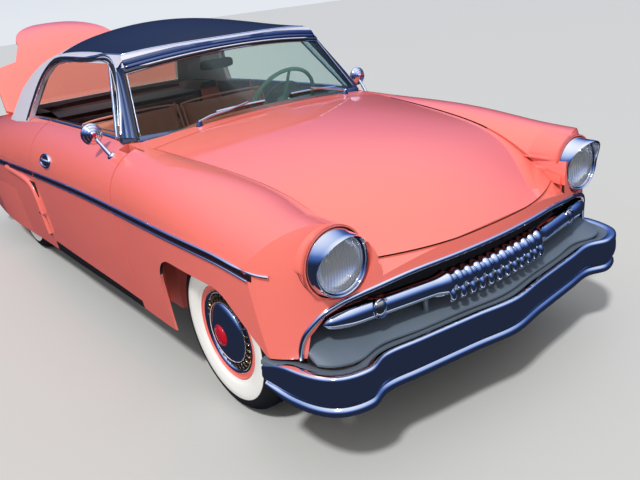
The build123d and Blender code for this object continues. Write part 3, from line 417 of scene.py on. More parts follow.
def addEdgeSplit(piece, degrees=35):
    modifier = piece.modifiers.new("crisp edges", "EDGE_SPLIT")
    modifier.split_angle = math.radians(degrees)
    return piece


def ringFaces(rings, count, closedRing=True, closedLine=False):
    faces = []
    spans = rings if closedLine else rings - 1
    around = count if closedRing else count - 1
    for i in range(spans):
        j = (i + 1) % rings
        for k in range(around):
            m = (k + 1) % count
            faces.append((i * count + k, i * count + m, j * count + m, j * count + k))
    return faces


# the two ends of a bar whose rings have count points each
def endFaces(rings, count):
    return [tuple(range(count)), tuple(reversed(range((rings - 1) * count, rings * count)))]


# a grid of (rows + 1) by (columns + 1) points, row by row
def gridFaces(rows, columns):
    width = columns + 1
    return [(i * width + k, i * width + k + 1, (i + 1) * width + k + 1, (i + 1) * width + k)
            for i in range(rows) for k in range(columns)]


# a strip of one section along a line; the section is (across, out) and out follows the normals
def addMoulding(name, line, normals, section, material, body, closed=False):
    count = len(section)
    vertices = []
    for i, point in enumerate(line):
        before = line[i - 1] if i or closed else point
        after = line[(i + 1) % len(line)] if i < len(line) - 1 or closed else point
        along = (after - before).normalized()
        out = (normals[i] - along * normals[i].dot(along)).normalized()
        across = along.cross(out)
        vertices += [point + across * a + out * o for a, o in section]
    faces = ringFaces(len(line), count, closedLine=closed)
    if not closed:
        faces += endFaces(len(line), count)
    return addEdgeSplit(addPiece(name, vertices, faces, material, body), 50)


def halfRound(width, rise, steps=8, sink=0.004):
    arc = [(-width / 2 * math.cos(math.pi * i / steps), rise * math.sin(math.pi * i / steps))
           for i in range(steps + 1)]
    return [(-width / 2, -sink)] + arc + [(width / 2, -sink)]


# a turned piece: profile of (radius, distance along the axis)
def addTurned(name, profile, place, axis, material, body, segments=64, closedProfile=False):
    axis = Vector(axis).normalized()
    side = axis.orthogonal().normalized()
    other = axis.cross(side)
    vertices = []
    for k in range(segments):
        angle = 2 * math.pi * k / segments
        spoke = side * math.cos(angle) + other * math.sin(angle)
        vertices += [Vector(place) + spoke * r + axis * a for r, a in profile]
    faces = ringFaces(segments, len(profile), closedRing=closedProfile, closedLine=True)
    return addEdgeSplit(addPiece(name, vertices, faces, material, body), 40)


# side spears: two chrome rails with a dark channel between them
spear = {"line": [(-2.15, 0.722), (-1.114, 0.748), (0.265, 0.781), (1.096, 0.786), (1.886, 0.792),
                  (2.10, 0.783), (2.255, 0.764)],
         "depth": 0.034, "railWidth": 0.012, "railRise": 0.011, "insertRise": 0.004, "lowerShort": 0.07,
         "lowerShare": 0.8, "overlap": 0.004, "breaks": [-0.329, 0.981], "breakGap": 0.006, "steps": 90,
         "even": 7}
spearInsertAndWellShade = satinPaint("maroon spear channel paint", "#2A1014", 0.35)
spearParts = [("quarter", spear["line"][0][0], spear["breaks"][0], "body"),
              ("door", spear["breaks"][0], spear["breaks"][1], "door_{}"),
              ("fender", spear["breaks"][1], spear["line"][-1][0], "body")]
spearCurve = smoothLine([(x, 0, z) for x, z in spear["line"]], 24)


def heightOnCurve(curve, x):
    for a, b in zip(curve, curve[1:]):
        if a.x <= x <= b.x:
            return a.z + (b.z - a.z) * (x - a.x) / (b.x - a.x)
    return curve[-1].z if x > curve[-1].x else curve[0].z


def sideLine(x0, x1, heightAt, side, steps):
    line, normals = [], []
    for i in range(steps + 1):
        x = x0 + (x1 - x0) * i / steps
        hit, normal = castSide(sideTrees[side], x, heightAt(x), side)
        if hit is not None and abs(hit.y) > 0.6:
            line.append(hit)
            normals.append(normal)
    return line, normals


# each point moved to the middle of its neighbours within reach
def evened(values, reach):
    result = []
    for i in range(len(values)):
        span = min(reach, i, len(values) - 1 - i)
        near = values[i - span:i + span + 1]
        result.append(sum(near, Vector()) / len(near))
    return result


for side in sides:
    for label, x0, x1, body in spearParts:
        x0, x1 = x0 + spear["breakGap"], x1 - spear["breakGap"]
        short = spear["lowerShort"] if label == "fender" else 0
        share = spear["lowerShare"]
        rows = [("upper_rail", 0.0, spear["railWidth"], spear["railRise"], chrome, x1),
                ("lower_rail", spear["depth"] - spear["overlap"], spear["railWidth"] * share,
                 spear["railRise"] * share, chrome, x1 - short),
                ("channel", spear["depth"] / 2, spear["depth"] * share, spear["insertRise"], spearInsertAndWellShade,
                 x1 - short * share)]
        for part, drop, width, rise, material, end in rows:
            line, normals = sideLine(x0, end, lambda x: heightOnCurve(spearCurve, x) - drop, side,
                                     spear["steps"])
            line, normals = evened(line, spear["even"]), evened(normals, spear["even"])
            addMoulding(f"spear_{label}_{part}_{side}", line, normals, halfRound(width, rise), material,
                        body.format(side))
print("spears on")


# a strip laid over a surface: stations of points and outward normals, with a rise for each point across
def addCover(name, stations, rises, material, body):
    vertices = []
    for station in stations:
        for (point, normal), rise in zip(station, rises):
            vertices.append(point + normal * rise)
    faces = ringFaces(len(stations), len(rises), closedRing=False)
    return addEdgeSplit(addPiece(name, vertices, faces, material, body), 40)


def castAlong(tree, point, outward, reach=0.4):
    outward = outward.normalized()
    hit, normal, _, _ = tree.ray_cast(point + outward * reach, -outward)
    if hit is None:
        return point, outward
    return hit, (normal if normal.dot(outward) > 0 else -normal)


def between(a, b, t):
    return a + (b - a) * t


def stepsTo(low, high, count):
    return [low + (high - low) * i / count for i in range(count + 1)]


def onLine(points, value):
    for (x0, z0), (x1, z1) in zip(points, points[1:]):
        if x0 <= value <= x1:
            return z0 + (z1 - z0) * (value - x0) / (x1 - x0)
    return points[0][1] if value < points[0][0] else points[-1][1]


# front and rear bumper: a pressed bar with a deep face, a groove and a rolled lower lip; plans are (x from the
# axle, y), and the section is (outward, up)
bumperSection = [(-0.052, 0.150), (-0.030, 0.157), (-0.010, 0.160), (-0.002, 0.155), (0.0, 0.146),
                 (-0.001, 0.128), (0.001, 0.105), (0.001, 0.085), (-0.003, 0.066), (-0.010, 0.052),
                 (-0.016, 0.042), (-0.017, 0.036), (-0.011, 0.031), (-0.006, 0.025), (-0.005, 0.016),
                 (-0.009, 0.006), (-0.020, 0.0), (-0.046, 0.003)]
frontBumper = {"plan": [(0.822, 0), (0.794, 0.2), (0.764, 0.45), (0.746, 0.6), (0.778, 0.705), (0.742, 0.815),
                        (0.64, 0.88), (0.43, 0.918)], "low": 0.292}
rearBumper = {"plan": [(-1.311, 0), (-1.3, 0.35), (-1.262, 0.65), (-1.19, 0.83), (-1.08, 0.915), (-0.9, 0.935)],
              "low": 0.300}
bumperTip = {"points": 9, "height": 0.55, "middle": 0.085}


def planCurve(half, axleX, steps=14):
    whole = [(x, -y) for x, y in reversed(half[1:])] + list(half)
    return smoothLine([(axleX + x, y, 0) for x, y in whole], steps)


def outFromBar(line, i, facing=1):
    along = (line[min(i + 1, len(line) - 1)] - line[max(i - 1, 0)]).normalized()
    return Vector((along.y, -along.x, 0)) * facing


def addBumper(name, spec, axleX, facing, node):
    line = planCurve(spec["plan"], axleX)
    vertices, count = [], len(bumperSection)
    middle = spec["low"] + bumperTip["middle"]
    for i, point in enumerate(line):
        out = outFromBar(line, i, facing)
        tip = min(i, len(line) - 1 - i) / bumperTip["points"]
        taper = between(bumperTip["height"], 1.0, math.sin(math.pi / 2 * min(tip, 1)))
        for o, z in bumperSection:
            vertices.append(point + out * o + Vector((0, 0, middle + (spec["low"] + z - middle) * taper)))
    faces = ringFaces(len(line), count) + endFaces(len(line), count)
    piece = addEdgeSplit(addPiece(name, vertices, faces, chrome, "body"), 50)
    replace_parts(piece, node)
    return line


frontLine = addBumper("front_bumper_bar", frontBumper, frontAxleX, 1, "front_bumper")
addBumper("rear_bumper_bar", rearBumper, rearAxleX, -1, "rear_bumper")

# satin strip that closes the gap between the fenders' feet, the gravel pan and the bumper
fillerStrip = {"inset": 0.022, "height": 0.437, "section": [(-0.075, -0.022), (-0.07, -0.008), (-0.045, 0.004),
               (-0.02, 0.009), (0.006, 0.009), (0.018, 0.003), (0.020, -0.012)]}
strip = [point - outFromBar(frontLine, i) * fillerStrip["inset"] + Vector((0, 0, fillerStrip["height"]))
         for i, point in enumerate(frontLine)]
addMoulding("filler_strip", strip, [Vector((0, 0, 1))] * len(strip), fillerStrip["section"], satinSilver,
            "body")
print("bumpers on")

# grille surround: a chrome lip round the opening
grille = {"outline": [(0.830, 0.452), (0.826, 0.500), (0.812, 0.545), (0.786, 0.580), (0.750, 0.612),
                      (0.700, 0.632), (0.650, 0.643), (0.560, 0.655), (0.400, 0.671), (0.200, 0.673),
                      (0.0, 0.673)],
          "width": 0.020, "rise": 0.012, "lipReach": 0.5, "barX": 0.690, "barZ": 0.573, "barRadius": 0.038,
          "coreRadius": 0.034, "coreHalf": 0.275, "postY": 0.33, "postFoot": 0.475, "postRadius": 0.010,
          "postBack": 0.03}
outline = smoothLine([(0, y, z) for y, z in grille["outline"]], 8)
outline = outline + [Vector((0, -p.y, p.z)) for p in reversed(outline[:-1])]
lipLine, lipNormals = [], []
for p in outline:
    hit, normal = castBack(noseTree, p.y, p.z)
    if hit is not None and hit.x > noseX - grille["lipReach"]:
        lipLine.append(hit)
        lipNormals.append(normal)
addMoulding("grille_surround", lipLine, lipNormals, halfRound(grille["width"], grille["rise"]), chrome, "body")

# grille bar with its pointed ends, teeth and bullet lamps
barX, barZ, barRadius = frontAxleX + grille["barX"], grille["barZ"], grille["barRadius"]
teeth = {"count": 12, "half": 0.261, "ring": 0.030, "tube": 0.0165, "halfWidth": 0.0205, "bow": 0.018,
         "fingerDrop": 0.050, "fingerForward": 0.014, "fingerRadius": 0.014}
wing = {"start": 0.262, "bendFrom": 0.265, "end": 0.756, "setBack": 0.084, "taperFrom": 0.62, "flare": 0.011,
        "flareLength": 0.06, "tipRadius": 0.0012, "spoonLength": 0.085}


def barCentre(y):
    reach = max(abs(y) - wing["bendFrom"], 0)
    bow = teeth["bow"] * max(0.0, 1 - (y / teeth["half"]) ** 2)
    return Vector((barX + bow - wing["setBack"] * reach / (wing["end"] - wing["bendFrom"]), y, barZ))


# a round bar through stations of (centre, radius)
def addTube(name, stations, material, body, around=24):
    vertices = []
    for i, (centre, radius) in enumerate(stations):
        along = (stations[min(i + 1, len(stations) - 1)][0] - stations[max(i - 1, 0)][0]).normalized()
        side = Vector((0, 0, 1)) if abs(along.z) < 0.9 else Vector((1, 0, 0))
        side = (side - along * along.dot(side)).normalized()
        other = along.cross(side)
        for k in range(around):
            angle = 2 * math.pi * k / around
            vertices.append(centre + (side * math.cos(angle) + other * math.sin(angle)) * radius)
    faces = ringFaces(len(stations), around) + endFaces(len(stations), around)
    return addEdgeSplit(addPiece(name, vertices, faces, material, body), 50)


for side, sign in sides.items():
    stations = []
    for y in stepsTo(wing["start"], wing["end"], 40):
        past = max(0.0, (y - wing["taperFrom"]) / (wing["end"] - wing["taperFrom"]))
        flare = max(0.0, 1 - (y - wing["start"]) / wing["flareLength"])
        radius = barRadius * math.sqrt(max(1 - past ** 2.2, 0.0)) + wing["flare"] * flare ** 2
        stations.append((barCentre(sign * y), max(radius, wing["tipRadius"])))
    addTube(f"grille_wing_{side}", stations, chrome, "body", around=32)
    # spoon-shaped lip where the wing meets the first tooth
    spoon = []
    for t in stepsTo(0, 1, 14):
        y = wing["start"] + wing["spoonLength"] * t
        centre = barCentre(sign * y) + Vector((0.024 - 0.016 * t, 0, -0.040 + 0.026 * t))
        spoon.append((centre, max(0.002, 0.013 * math.sin(math.pi * min(1.0, 0.18 + 0.82 * (1 - t))))))
    addTube(f"grille_wing_lip_{side}", spoon, chrome, "body", around=16)

# twelve ring-shaped teeth, each with a finger bent down in front of the bar
for index in range(teeth["count"]):
    y = -teeth["half"] + 2 * teeth["half"] * index / (teeth["count"] - 1)
    centre = barCentre(y)
    vertices, ringCount, tubeCount = [], 40, 14
    for a in range(ringCount):
        around = 2 * math.pi * a / ringCount
        spoke = Vector((math.cos(around), 0, math.sin(around)))
        swell = 1.0 + 0.10 * max(0.0, math.cos(around - 0.6))
        for k in range(tubeCount):
            bead = 2 * math.pi * k / tubeCount
            vertices.append(centre + spoke * (teeth["ring"] + teeth["tube"] * swell * math.cos(bead))
                            + Vector((0, teeth["halfWidth"] * math.sin(bead), 0)))
    faces = ringFaces(ringCount, tubeCount, closedLine=True)
    addPiece(f"grille_tooth_{index + 1}", vertices, faces, chrome, "body")
    finger = []
    for t in stepsTo(0, 1, 12):
        drop = Vector((0.030 + teeth["fingerForward"] * math.sin(math.pi * t), 0,
                       -0.016 - teeth["fingerDrop"] * t))
        finger.append((centre + drop, max(0.002, teeth["fingerRadius"] * math.sqrt(1 - (0.96 * t) ** 3))))
    addTube(f"grille_finger_{index + 1}", finger, chrome, "body", around=14)
core = [(barCentre(y), grille["coreRadius"]) for y in stepsTo(-grille["coreHalf"], grille["coreHalf"], 30)]
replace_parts(addTube("grille_bar_core", core, chrome, "body", around=24), "grille_bar")
for side in ("right", "left"):
    post = [(Vector((barX - grille["postBack"], sides[side] * grille["postY"], z)), grille["postRadius"])
            for z in stepsTo(grille["postFoot"], barZ, 4)]
    addTube(f"grille_post_{side}", post, satinSilver, "body", around=12)

# bullet lamps on the wings
parkLamp = {"y": 0.553, "offset": (-0.030, 0, 0.004), "segments": 40,
            "shell": [(0.0, -0.02), (0.018, -0.02), (0.026, -0.008), (0.031, 0.012), (0.035, 0.034),
                      (0.038, 0.052), (0.0385, 0.060), (0.036, 0.064), (0.032, 0.062), (0.030, 0.056),
                      (0.0, 0.050)],
            "lens": [(0.031, 0.058), (0.028, 0.064), (0.020, 0.070), (0.010, 0.0735), (0.0, 0.075)]}
lampClear = plateGlass("ribbed clear lamp glass", "#FFEFD2", 0.9, 0.08)
for side, sign in sides.items():
    place = barCentre(sign * parkLamp["y"]) + Vector(parkLamp["offset"])
    addTurned(f"park_lamp_{side}", parkLamp["shell"], place, (1, 0, 0), chrome, "body", parkLamp["segments"])
    addTurned(f"park_lens_{side}", parkLamp["lens"], place, (1, 0, 0), lampClear, "body", parkLamp["segments"])
print("grille on")


# the middle of a wheel and the side of the car that it is on
def wheelPlace(wheelName):
    low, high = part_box(f"tyre_{wheelName}")
    centre = Vector([(a + b) / 2 for a, b in zip(low, high)])
    return centre, (1 if centre.y > 0 else -1)


# tyres: a ribbed tread and a white band, turned in one piece with the bead seated in the rim
wheelNames = ("front_left", "front_right", "rear_left", "rear_right")
# wall is (radius, place along the axle), from the bead to the shoulder
tyre = {"grooves": [-0.045, -0.015, 0.015, 0.045], "grooveHalf": 0.004, "grooveDeep": 0.008,
        "grooveLip": 0.0005, "crown": 0.02, "clear": 0.0002, "whiteFrom": 0.2065, "whiteTo": 0.290,
        "wall": [(0.1905, 0.064), (0.197, 0.073), (0.207, 0.080), (0.215, 0.0835), (0.218, 0.0835),
                 (0.2195, 0.086), (0.235, 0.0915), (0.262, 0.0965), (0.288, 0.0965), (0.2895, 0.0955),
                 (0.2912, 0.0955), (0.293, 0.0970), (0.305, 0.0965), (0.322, 0.089), (0.334, 0.078),
                 (0.343, 0.066), (0.348, 0.056)]}
treadProfile = []
for groove in reversed(tyre["grooves"]):
    edge, lip, floorRadius = tyre["grooveHalf"], tyre["grooveLip"], tyreRadius - tyre["grooveDeep"]
    outer, inner = ([(tyreRadius - tyre["clear"] - abs(a) * tyre["crown"], a) for a in pair]
                    for pair in ((groove + edge + lip, groove + edge), (groove - edge, groove - edge - lip)))
    treadProfile += outer + [(floorRadius, groove + edge * 0.7), (floorRadius, groove - edge * 0.7)] + inner
tyreLoop = tyre["wall"] + treadProfile + [(r, -a) for r, a in reversed(tyre["wall"])]
rubber = newMaterial("vulcanised tyre rubber with a white band", {"Base Color": linear("#1B1A19"),
                                                                  "Roughness": 0.62})[0]
whiteRubber = satinPaint("white sidewall rubber", "#EFEDE8", 0.5, 0.0, 150.0, 0.06)
for wheelName in wheelNames:
    centre, sign = wheelPlace(wheelName)
    piece = addTurned(f"tyre_whitewall_{wheelName}", tyreLoop, centre, (0, sign, 0), rubber,
                      f"wheel_{wheelName}", 96, True)
    piece.data.materials.append(whiteRubber)
    for polygon in piece.data.polygons:
        offset = polygon.center - centre
        if tyre["whiteFrom"] < math.hypot(offset.x, offset.z) < tyre["whiteTo"] and offset.y * sign > 0:
            polygon.material_index = 1
    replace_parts(piece, f"tyre_{wheelName}")
print("tyres on")

# full wheel cover: bright dish, a dark ring with cooling slots, an inner dome and a red centre
gold = chromePlate("gold lacquered slot frame", "#E6B878", 0.12)
ringDark = satinPaint("black wheel cover enamel", "#17171B", 0.25)
redCap = newMaterial("red enamel wheel centre", {"Base Color": linear("#C01422"), "Roughness": 0.12,
                                                 "Coat Weight": 1.0})[0]
cover = {"slots": 30, "slotRadius": 0.1505, "slotLength": 0.026, "slotWidth": 0.0075, "slotOut": 0.0748,
         "slotRings": [(1.0, -0.003), (0.98, 0.0020), (0.80, 0.0030), (0.25, 0.0034)]}  # (scale, rise)
# profiles as (radius, place along the axle)
rimRing = [(0.2055, 0.062), (0.2065, 0.079), (0.2045, 0.0825), (0.201, 0.0835), (0.199, 0.081), (0.1965, 0.075),
           (0.191, 0.070), (0.186, 0.0685), (0.182, 0.0685), (0.182, 0.060)]
dish = [(0.184, 0.064), (0.186, 0.0725), (0.1835, 0.0785), (0.178, 0.0815), (0.172, 0.0795), (0.168, 0.0745),
        (0.165, 0.0700)]
slotBand = [(0.1655, 0.0705), (0.158, 0.0725), (0.150, 0.0745), (0.142, 0.0750), (0.135, 0.0735)]
dome = [(0.1355, 0.0730), (0.1345, 0.0790), (0.1310, 0.0840), (0.1250, 0.0885), (0.1150, 0.0935),
        (0.1000, 0.0990), (0.0850, 0.1030), (0.0700, 0.1060), (0.0560, 0.1080), (0.0480, 0.1088),
        (0.0465, 0.1070), (0.0440, 0.1068)]
capDome = [(0.0455, 0.1065), (0.0450, 0.1105), (0.0425, 0.1130), (0.0405, 0.1133), (0.0395, 0.1122),
           (0.0375, 0.1122), (0.0365, 0.1140), (0.0300, 0.1165), (0.0180, 0.1188), (0.0, 0.1198)]


# round the corners of a circle: the sine or cosine of the turn raised to a power below one
def squared(value, power):
    return math.copysign(abs(value) ** power, value)


for wheelName in wheelNames:
    centre, sign = wheelPlace(wheelName)
    axis, body = Vector((0, sign, 0)), f"wheel_{wheelName}"
    for label, profile, material, slot in (("rim_ring", rimRing, paint, "wheel_paint"),
                                           ("wheel_cover", dish, chrome, "bright_chrome"),
                                           ("wheel_cover_band", slotBand, ringDark, "frame_black"),
                                           ("wheel_cover_dome", dome, chrome, "bright_chrome"),
                                           ("wheel_cover_cap", capDome, redCap, "red_lens")):
        addTurned(f"{label}_{wheelName}", profile, centre, axis, material, body, 96)
    vertices, faces, rounds = [], [], 12
    for k in range(cover["slots"]):
        angle = 2 * math.pi * k / cover["slots"]
        spoke = Vector((math.cos(angle), 0, math.sin(angle)))
        tangent = Vector((-math.sin(angle), 0, math.cos(angle)))
        middle = centre + spoke * cover["slotRadius"] + axis * cover["slotOut"]
        start = len(vertices)
        for scale, rise in cover["slotRings"]:
            for m in range(rounds):
                turn = 2 * math.pi * m / rounds
                down = squared(math.cos(turn), 0.6) * cover["slotLength"] / 2
                across = squared(math.sin(turn), 0.6) * cover["slotWidth"] / 2
                vertices.append(middle + spoke * down * scale + tangent * across * scale + axis * rise)
        faces += [tuple(start + i for i in face) for face in ringFaces(len(cover["slotRings"]), rounds)]
        faces.append(tuple(range(start + 3 * rounds, start + 4 * rounds)))
    addPiece(f"wheel_cover_slots_{wheelName}", vertices, faces, gold, body)
print("wheel covers on")

# headlamps: fluted lens over a bright bowl, a rim, a hooded cowl and the fender skin drawn up to it
lensLow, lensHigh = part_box("headlamp_lenses")
lampFront, lampBack = lensHigh[0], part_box("headlamp_bezels")[0][0]
lampZ = (lensLow[2] + lensHigh[2]) / 2
lampY = lensHigh[1] - (lensHigh[2] - lensLow[2]) / 2
bowlMirror = chromePlate("silvered reflector bowl", "#F2F4F6", 0.16)
fluted, flutedTree, flutedShader = newMaterial("pressed fluted lamp glass", {
    "Base Color": linear("#F3F7F9"), "Roughness": 0.04, "IOR": 1.5, "Alpha": 0.32})
flutedCoords = addNode(flutedTree, "ShaderNodeTexCoord").outputs["Object"]
flutes = addNode(flutedTree, "ShaderNodeTexWave", {"Scale": 28.0, "Distortion": 0.6, "bands_direction": "Y"},
                 {"Vector": flutedCoords})  # upright, 11 mm apart
addNode(flutedTree, "ShaderNodeBump", {"Strength": 0.9, "Distance": 0.004}, {"Height": flutes.outputs["Fac"]},
        flutedShader.inputs["Normal"])
lampCowl = {"around": 96, "rimRadius": 0.110, "baseRadius": 0.124, "visor": 0.060, "chin": 0.012,
            "lipBack": 0.012, "tilt": 0.12}
fairing = {"spans": 8, "back": 0.21, "reach": 0.22, "start": 0.0045, "least": 0.06, "most": 0.030,
           "sink": 0.002, "noSkin": 0.09, "lap": 0.028, "tuck": 0.026}
# pieces turned about the lamp's axis, as (radius, place ahead of the lamp's front)
lampTurnings = [
    ("bowl", [(0.0985, -0.030), (0.094, -0.040), (0.078, -0.056), (0.052, -0.068), (0.025, -0.073),
              (0.0, -0.074)],
     bowlMirror, 64, "bright_chrome"),
    ("bulb", [(0.0, -0.036), (0.006, -0.0365), (0.011, -0.041), (0.013, -0.048), (0.012, -0.056),
              (0.012, -0.072)],
     lampClear, 32, "lamp_glass"),
    ("lens", [(0.099, -0.030), (0.099, -0.018), (0.094, -0.0125), (0.082, -0.0075), (0.064, -0.003),
              (0.042, 0.0), (0.020, 0.0015), (0.0, 0.002)], fluted, 72, "lamp_glass"),
    ("rim", [(0.1035, -0.030), (0.1035, -0.015), (0.1020, -0.0105), (0.0990, -0.0095), (0.0965, -0.0115),
             (0.0955, -0.016), (0.0955, -0.022)], chrome, 72, "bright_chrome")]
around, rimRadius, baseRadius = lampCowl["around"], lampCowl["rimRadius"], lampCowl["baseRadius"]
lipX = lampFront - lampCowl["lipBack"]
for side, sign in sides.items():
    place = Vector((lampFront, sign * lampY, lampZ))
    for label, profile, material, segments, slot in lampTurnings:
        piece = addTurned(f"headlamp_{label}_{side}", profile, place, (1, 0, 0), material, "body", segments)
        if label == "lens":
            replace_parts(piece, "headlamp_lenses")
    cowl, skin, lap, spans = [], [], [], fairing["spans"]
    centreBack = Vector((lampFront - fairing["back"], sign * lampY, lampZ))
    for k in range(around):
        angle = 2 * math.pi * k / around
        spoke = Vector((0, math.cos(angle), math.sin(angle)))
        # the cowl's top reaches over the lens and its chin sits back
        overLens = max(0.0, math.sin(angle + sign * lampCowl["tilt"])) ** 1.6
        reach = between(lampCowl["chin"], lampCowl["visor"], overLens)
        rings = [(baseRadius, lampBack), (baseRadius + 0.001, lipX - 0.055), (baseRadius - 0.004, lipX - 0.030),
                 (rimRadius + 0.003, lipX - 0.006), (rimRadius + 0.0015, lipX + reach * 0.6),
                 (rimRadius, lipX + reach - 0.003), (rimRadius - 0.0015, lipX + reach),
                 (rimRadius - 0.004, lipX + reach - 0.0015), (rimRadius - 0.006, lipX + reach * 0.5),
                 (0.1035, lipX - 0.004), (0.1030, lipX - 0.022)]
        cowl += [Vector((x, sign * lampY, lampZ)) + spoke * r for r, x in rings]
        # the fairing runs back from the cowl onto the fender, so that no gap shows behind it
        hit, _, _, _ = noseTree.ray_cast(centreBack + spoke * fairing["reach"], -spoke)
        tail = (hit - centreBack).dot(spoke) if hit is not None else fairing["noSkin"]
        tail = max(fairing["least"], min(tail - fairing["sink"], baseRadius + fairing["most"]))
        for t in stepsTo(0, 1, spans):
            radius = between(baseRadius + fairing["start"], tail, t * t * (3 - 2 * t))
            x = between(lipX - fairing["lap"], centreBack.x, t)
            skin.append(Vector((x, sign * lampY, lampZ)) + spoke * radius)
        tuckedIn = Vector((lipX - fairing["tuck"], sign * lampY, lampZ))
        lap.append(tuckedIn + spoke * (baseRadius - fairing["sink"]))
    skinFaces = ringFaces(around, spans + 1, False, True)
    skinFaces += [(len(skin) + k, len(skin) + (k + 1) % around, ((k + 1) % around) * (spans + 1),
                   k * (spans + 1))
                  for k in range(around)]
    addPiece(f"headlamp_fairing_{side}", skin + lap, skinFaces, paint, "body")
    piece = addEdgeSplit(addPiece(f"headlamp_cowl_{side}", cowl, ringFaces(around, 11, False, True), chrome,
                                  "body"), 40)
    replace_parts(piece, "headlamp_bezels")
print("headlamps on")

# roof: navy panel, chrome header and pillar covers, drip rails and window frames
stainless = chromePlate("brushed stainless trim", "#D5DBE6", 0.16)
# the plate's blue tone is a painted reflection of deep blue sky on the posts, header and screen foot
pillarPlate = chromePlate("blue-toned stainless pillar plate", "#66728F", 0.10)
rubberSeal = satinPaint("black window rubber", "#101012", 0.6, 0.0, 200.0, 0.1)
# screen is the windscreen edge as (height, half width) and side the door opening's front edge as (height, x)
roofTrim = {"screen": [(1.044, 0.700), (1.343, 0.612)], "side": [(0.970, 0.873), (1.378, 0.585)],
            "top": 1.386, "topDrop": 0.043, "cornerY": 0.604, "rimFoot": 1.046, "lap": 0.006,
            "pillar": (1.050, 1.352), "pillarRises": [0.000, 0.004, 0.0055, 0.003, 0.0035, 0.007, 0.0035, 0.003,
                                                      0.0055, 0.004, 0.000],
            "headerDeep": 0.036, "headerRises": [0.0, 0.005, 0.006, 0.003, 0.0065, 0.003, 0.006, 0.004, 0.0],
            "footHalf": 0.690, "footZ": 1.050}
screenFoot, screenHead = roofTrim["screen"]


def screenTop(y):
    t = min(abs(y) / screenHead[1], 1.0)
    return roofTrim["top"] - roofTrim["topDrop"] * t ** 2


def roofPoint(x, y):
    for pull in stepsTo(1.0, 0.9, 20):
        hit, normal = castDown(roofTree, x, y * pull)
        if hit is not None and hit.z > 1.3:
            return hit, normal
    return Vector((x, y, 1.4)), Vector((0, 0, 1))


for side, sign in sides.items():
    stations = []
    for z in stepsTo(*roofTrim["pillar"], 26):
        frontHit, _ = castBack(roofTree, sign * (onLine(roofTrim["screen"], z) + roofTrim["lap"]), z)
        sideHit, _ = castSide(roofTree, onLine(roofTrim["side"], z) + roofTrim["lap"], z, side)
        if frontHit is None or sideHit is None or abs(sideHit.y) < 0.5 or frontHit.x < 0.5:
            continue
        stations.append([castAlong(roofTree, between(frontHit, sideHit, t),
                                   Vector((1 - t, sign * t, 0.15)), 0.15)
                         for t in stepsTo(0, 1, len(roofTrim["pillarRises"]) - 1)])
    addCover(f"pillar_cover_{side}", stations, roofTrim["pillarRises"], pillarPlate, "body")
stations = []
for y in stepsTo(-screenHead[1], screenHead[1], 60):
    frontHit, _ = castBack(roofTree, y, screenTop(y) + roofTrim["lap"])
    topHit, _ = roofPoint(frontHit.x - roofTrim["headerDeep"], y)
    stations.append([castAlong(roofTree, between(frontHit, topHit, t), Vector((1 - t, 0, 0.3 + t)), 0.15)
                     for t in stepsTo(0, 1, len(roofTrim["headerRises"]) - 1)])
addCover("header_cover", stations, roofTrim["headerRises"], pillarPlate, "body")

# cover strip along the foot of the windscreen
footLine = [castBack(roofTree, y, roofTrim["footZ"])[0]
            for y in stepsTo(-roofTrim["footHalf"], roofTrim["footHalf"], 60)]
footLine = [hit + Vector((0.004, 0, -0.012)) for hit in footLine if hit is not None and hit.x > 0.5]
addMoulding("screen_foot", evened(footLine, 3), [Vector((0.75, 0, 0.66))] * len(footLine),
            halfRound(0.046, 0.011), pillarPlate, "body")

# black rubber and a thin bead round the windscreen glass
rim = [(between(screenFoot[1], screenHead[1], t), between(roofTrim["rimFoot"], screenHead[0], t))
       for t in stepsTo(0, 1, 16)]
rim += [(y, screenTop(y)) for y in stepsTo(roofTrim["cornerY"], 0, 16)]
rim += [(-y, z) for y, z in reversed(rim[:-1])]
for label, inset, drop, width, rise, material, slot in (
        ("rubber", 0.992, 0.005, 0.016, 0.006, rubberSeal, "frame_black"),
        ("bead", 0.978, 0.013, 0.006, 0.003, stainless, "bright_chrome")):
    line, normals = zip(*(castBack(roofTree, y * inset, z - drop) for y, z in rim))
    addMoulding(f"screen_{label}", line, normals, halfRound(width, rise), material, "body")

# navy panel laid on the grey roof, with a bead round it
panel = {"rows": 56, "columns": 40, "rear": -0.48, "rearCurve": 0.224, "front": 0.612, "frontBow": 0.070,
         "edge": [(-0.26, 0.622), (0.344, 0.592), (0.66, 0.566)], "rise": 0.003, "tuck": 0.001}
rows, columns = panel["rows"], panel["columns"]
panelRows = []
for i in range(rows + 1):
    panelRows.append([])
    for k in range(columns + 1):
        s = 2 * k / columns - 1
        rearX = panel["rear"] + panel["rearCurve"] * abs(s) ** 1.6
        frontX = panel["front"] + panel["frontBow"] * (1 - s * s)
        x = between(rearX, frontX, i / rows)
        hit, _ = roofPoint(x, s * onLine(panel["edge"], x))
        edge = i in (0, rows) or k in (0, columns)
        panelRows[i].append(hit + Vector((0, 0, -panel["tuck"] if edge else panel["rise"])))
addPiece("roof_panel", sum(panelRows, []), gridFaces(rows, columns), roofNavy, "body")
edgeLoop = panelRows[0] + [row[-1] for row in panelRows[1:]] + panelRows[-1][-2::-1]
edgeLoop += [row[0] for row in reversed(panelRows[1:-1])]
edgeNormals = [roofPoint(p.x, p.y)[1] for p in edgeLoop]
addMoulding("roof_panel_bead", edgeLoop, edgeNormals, halfRound(0.011, 0.005), stainless, "body", closed=True)

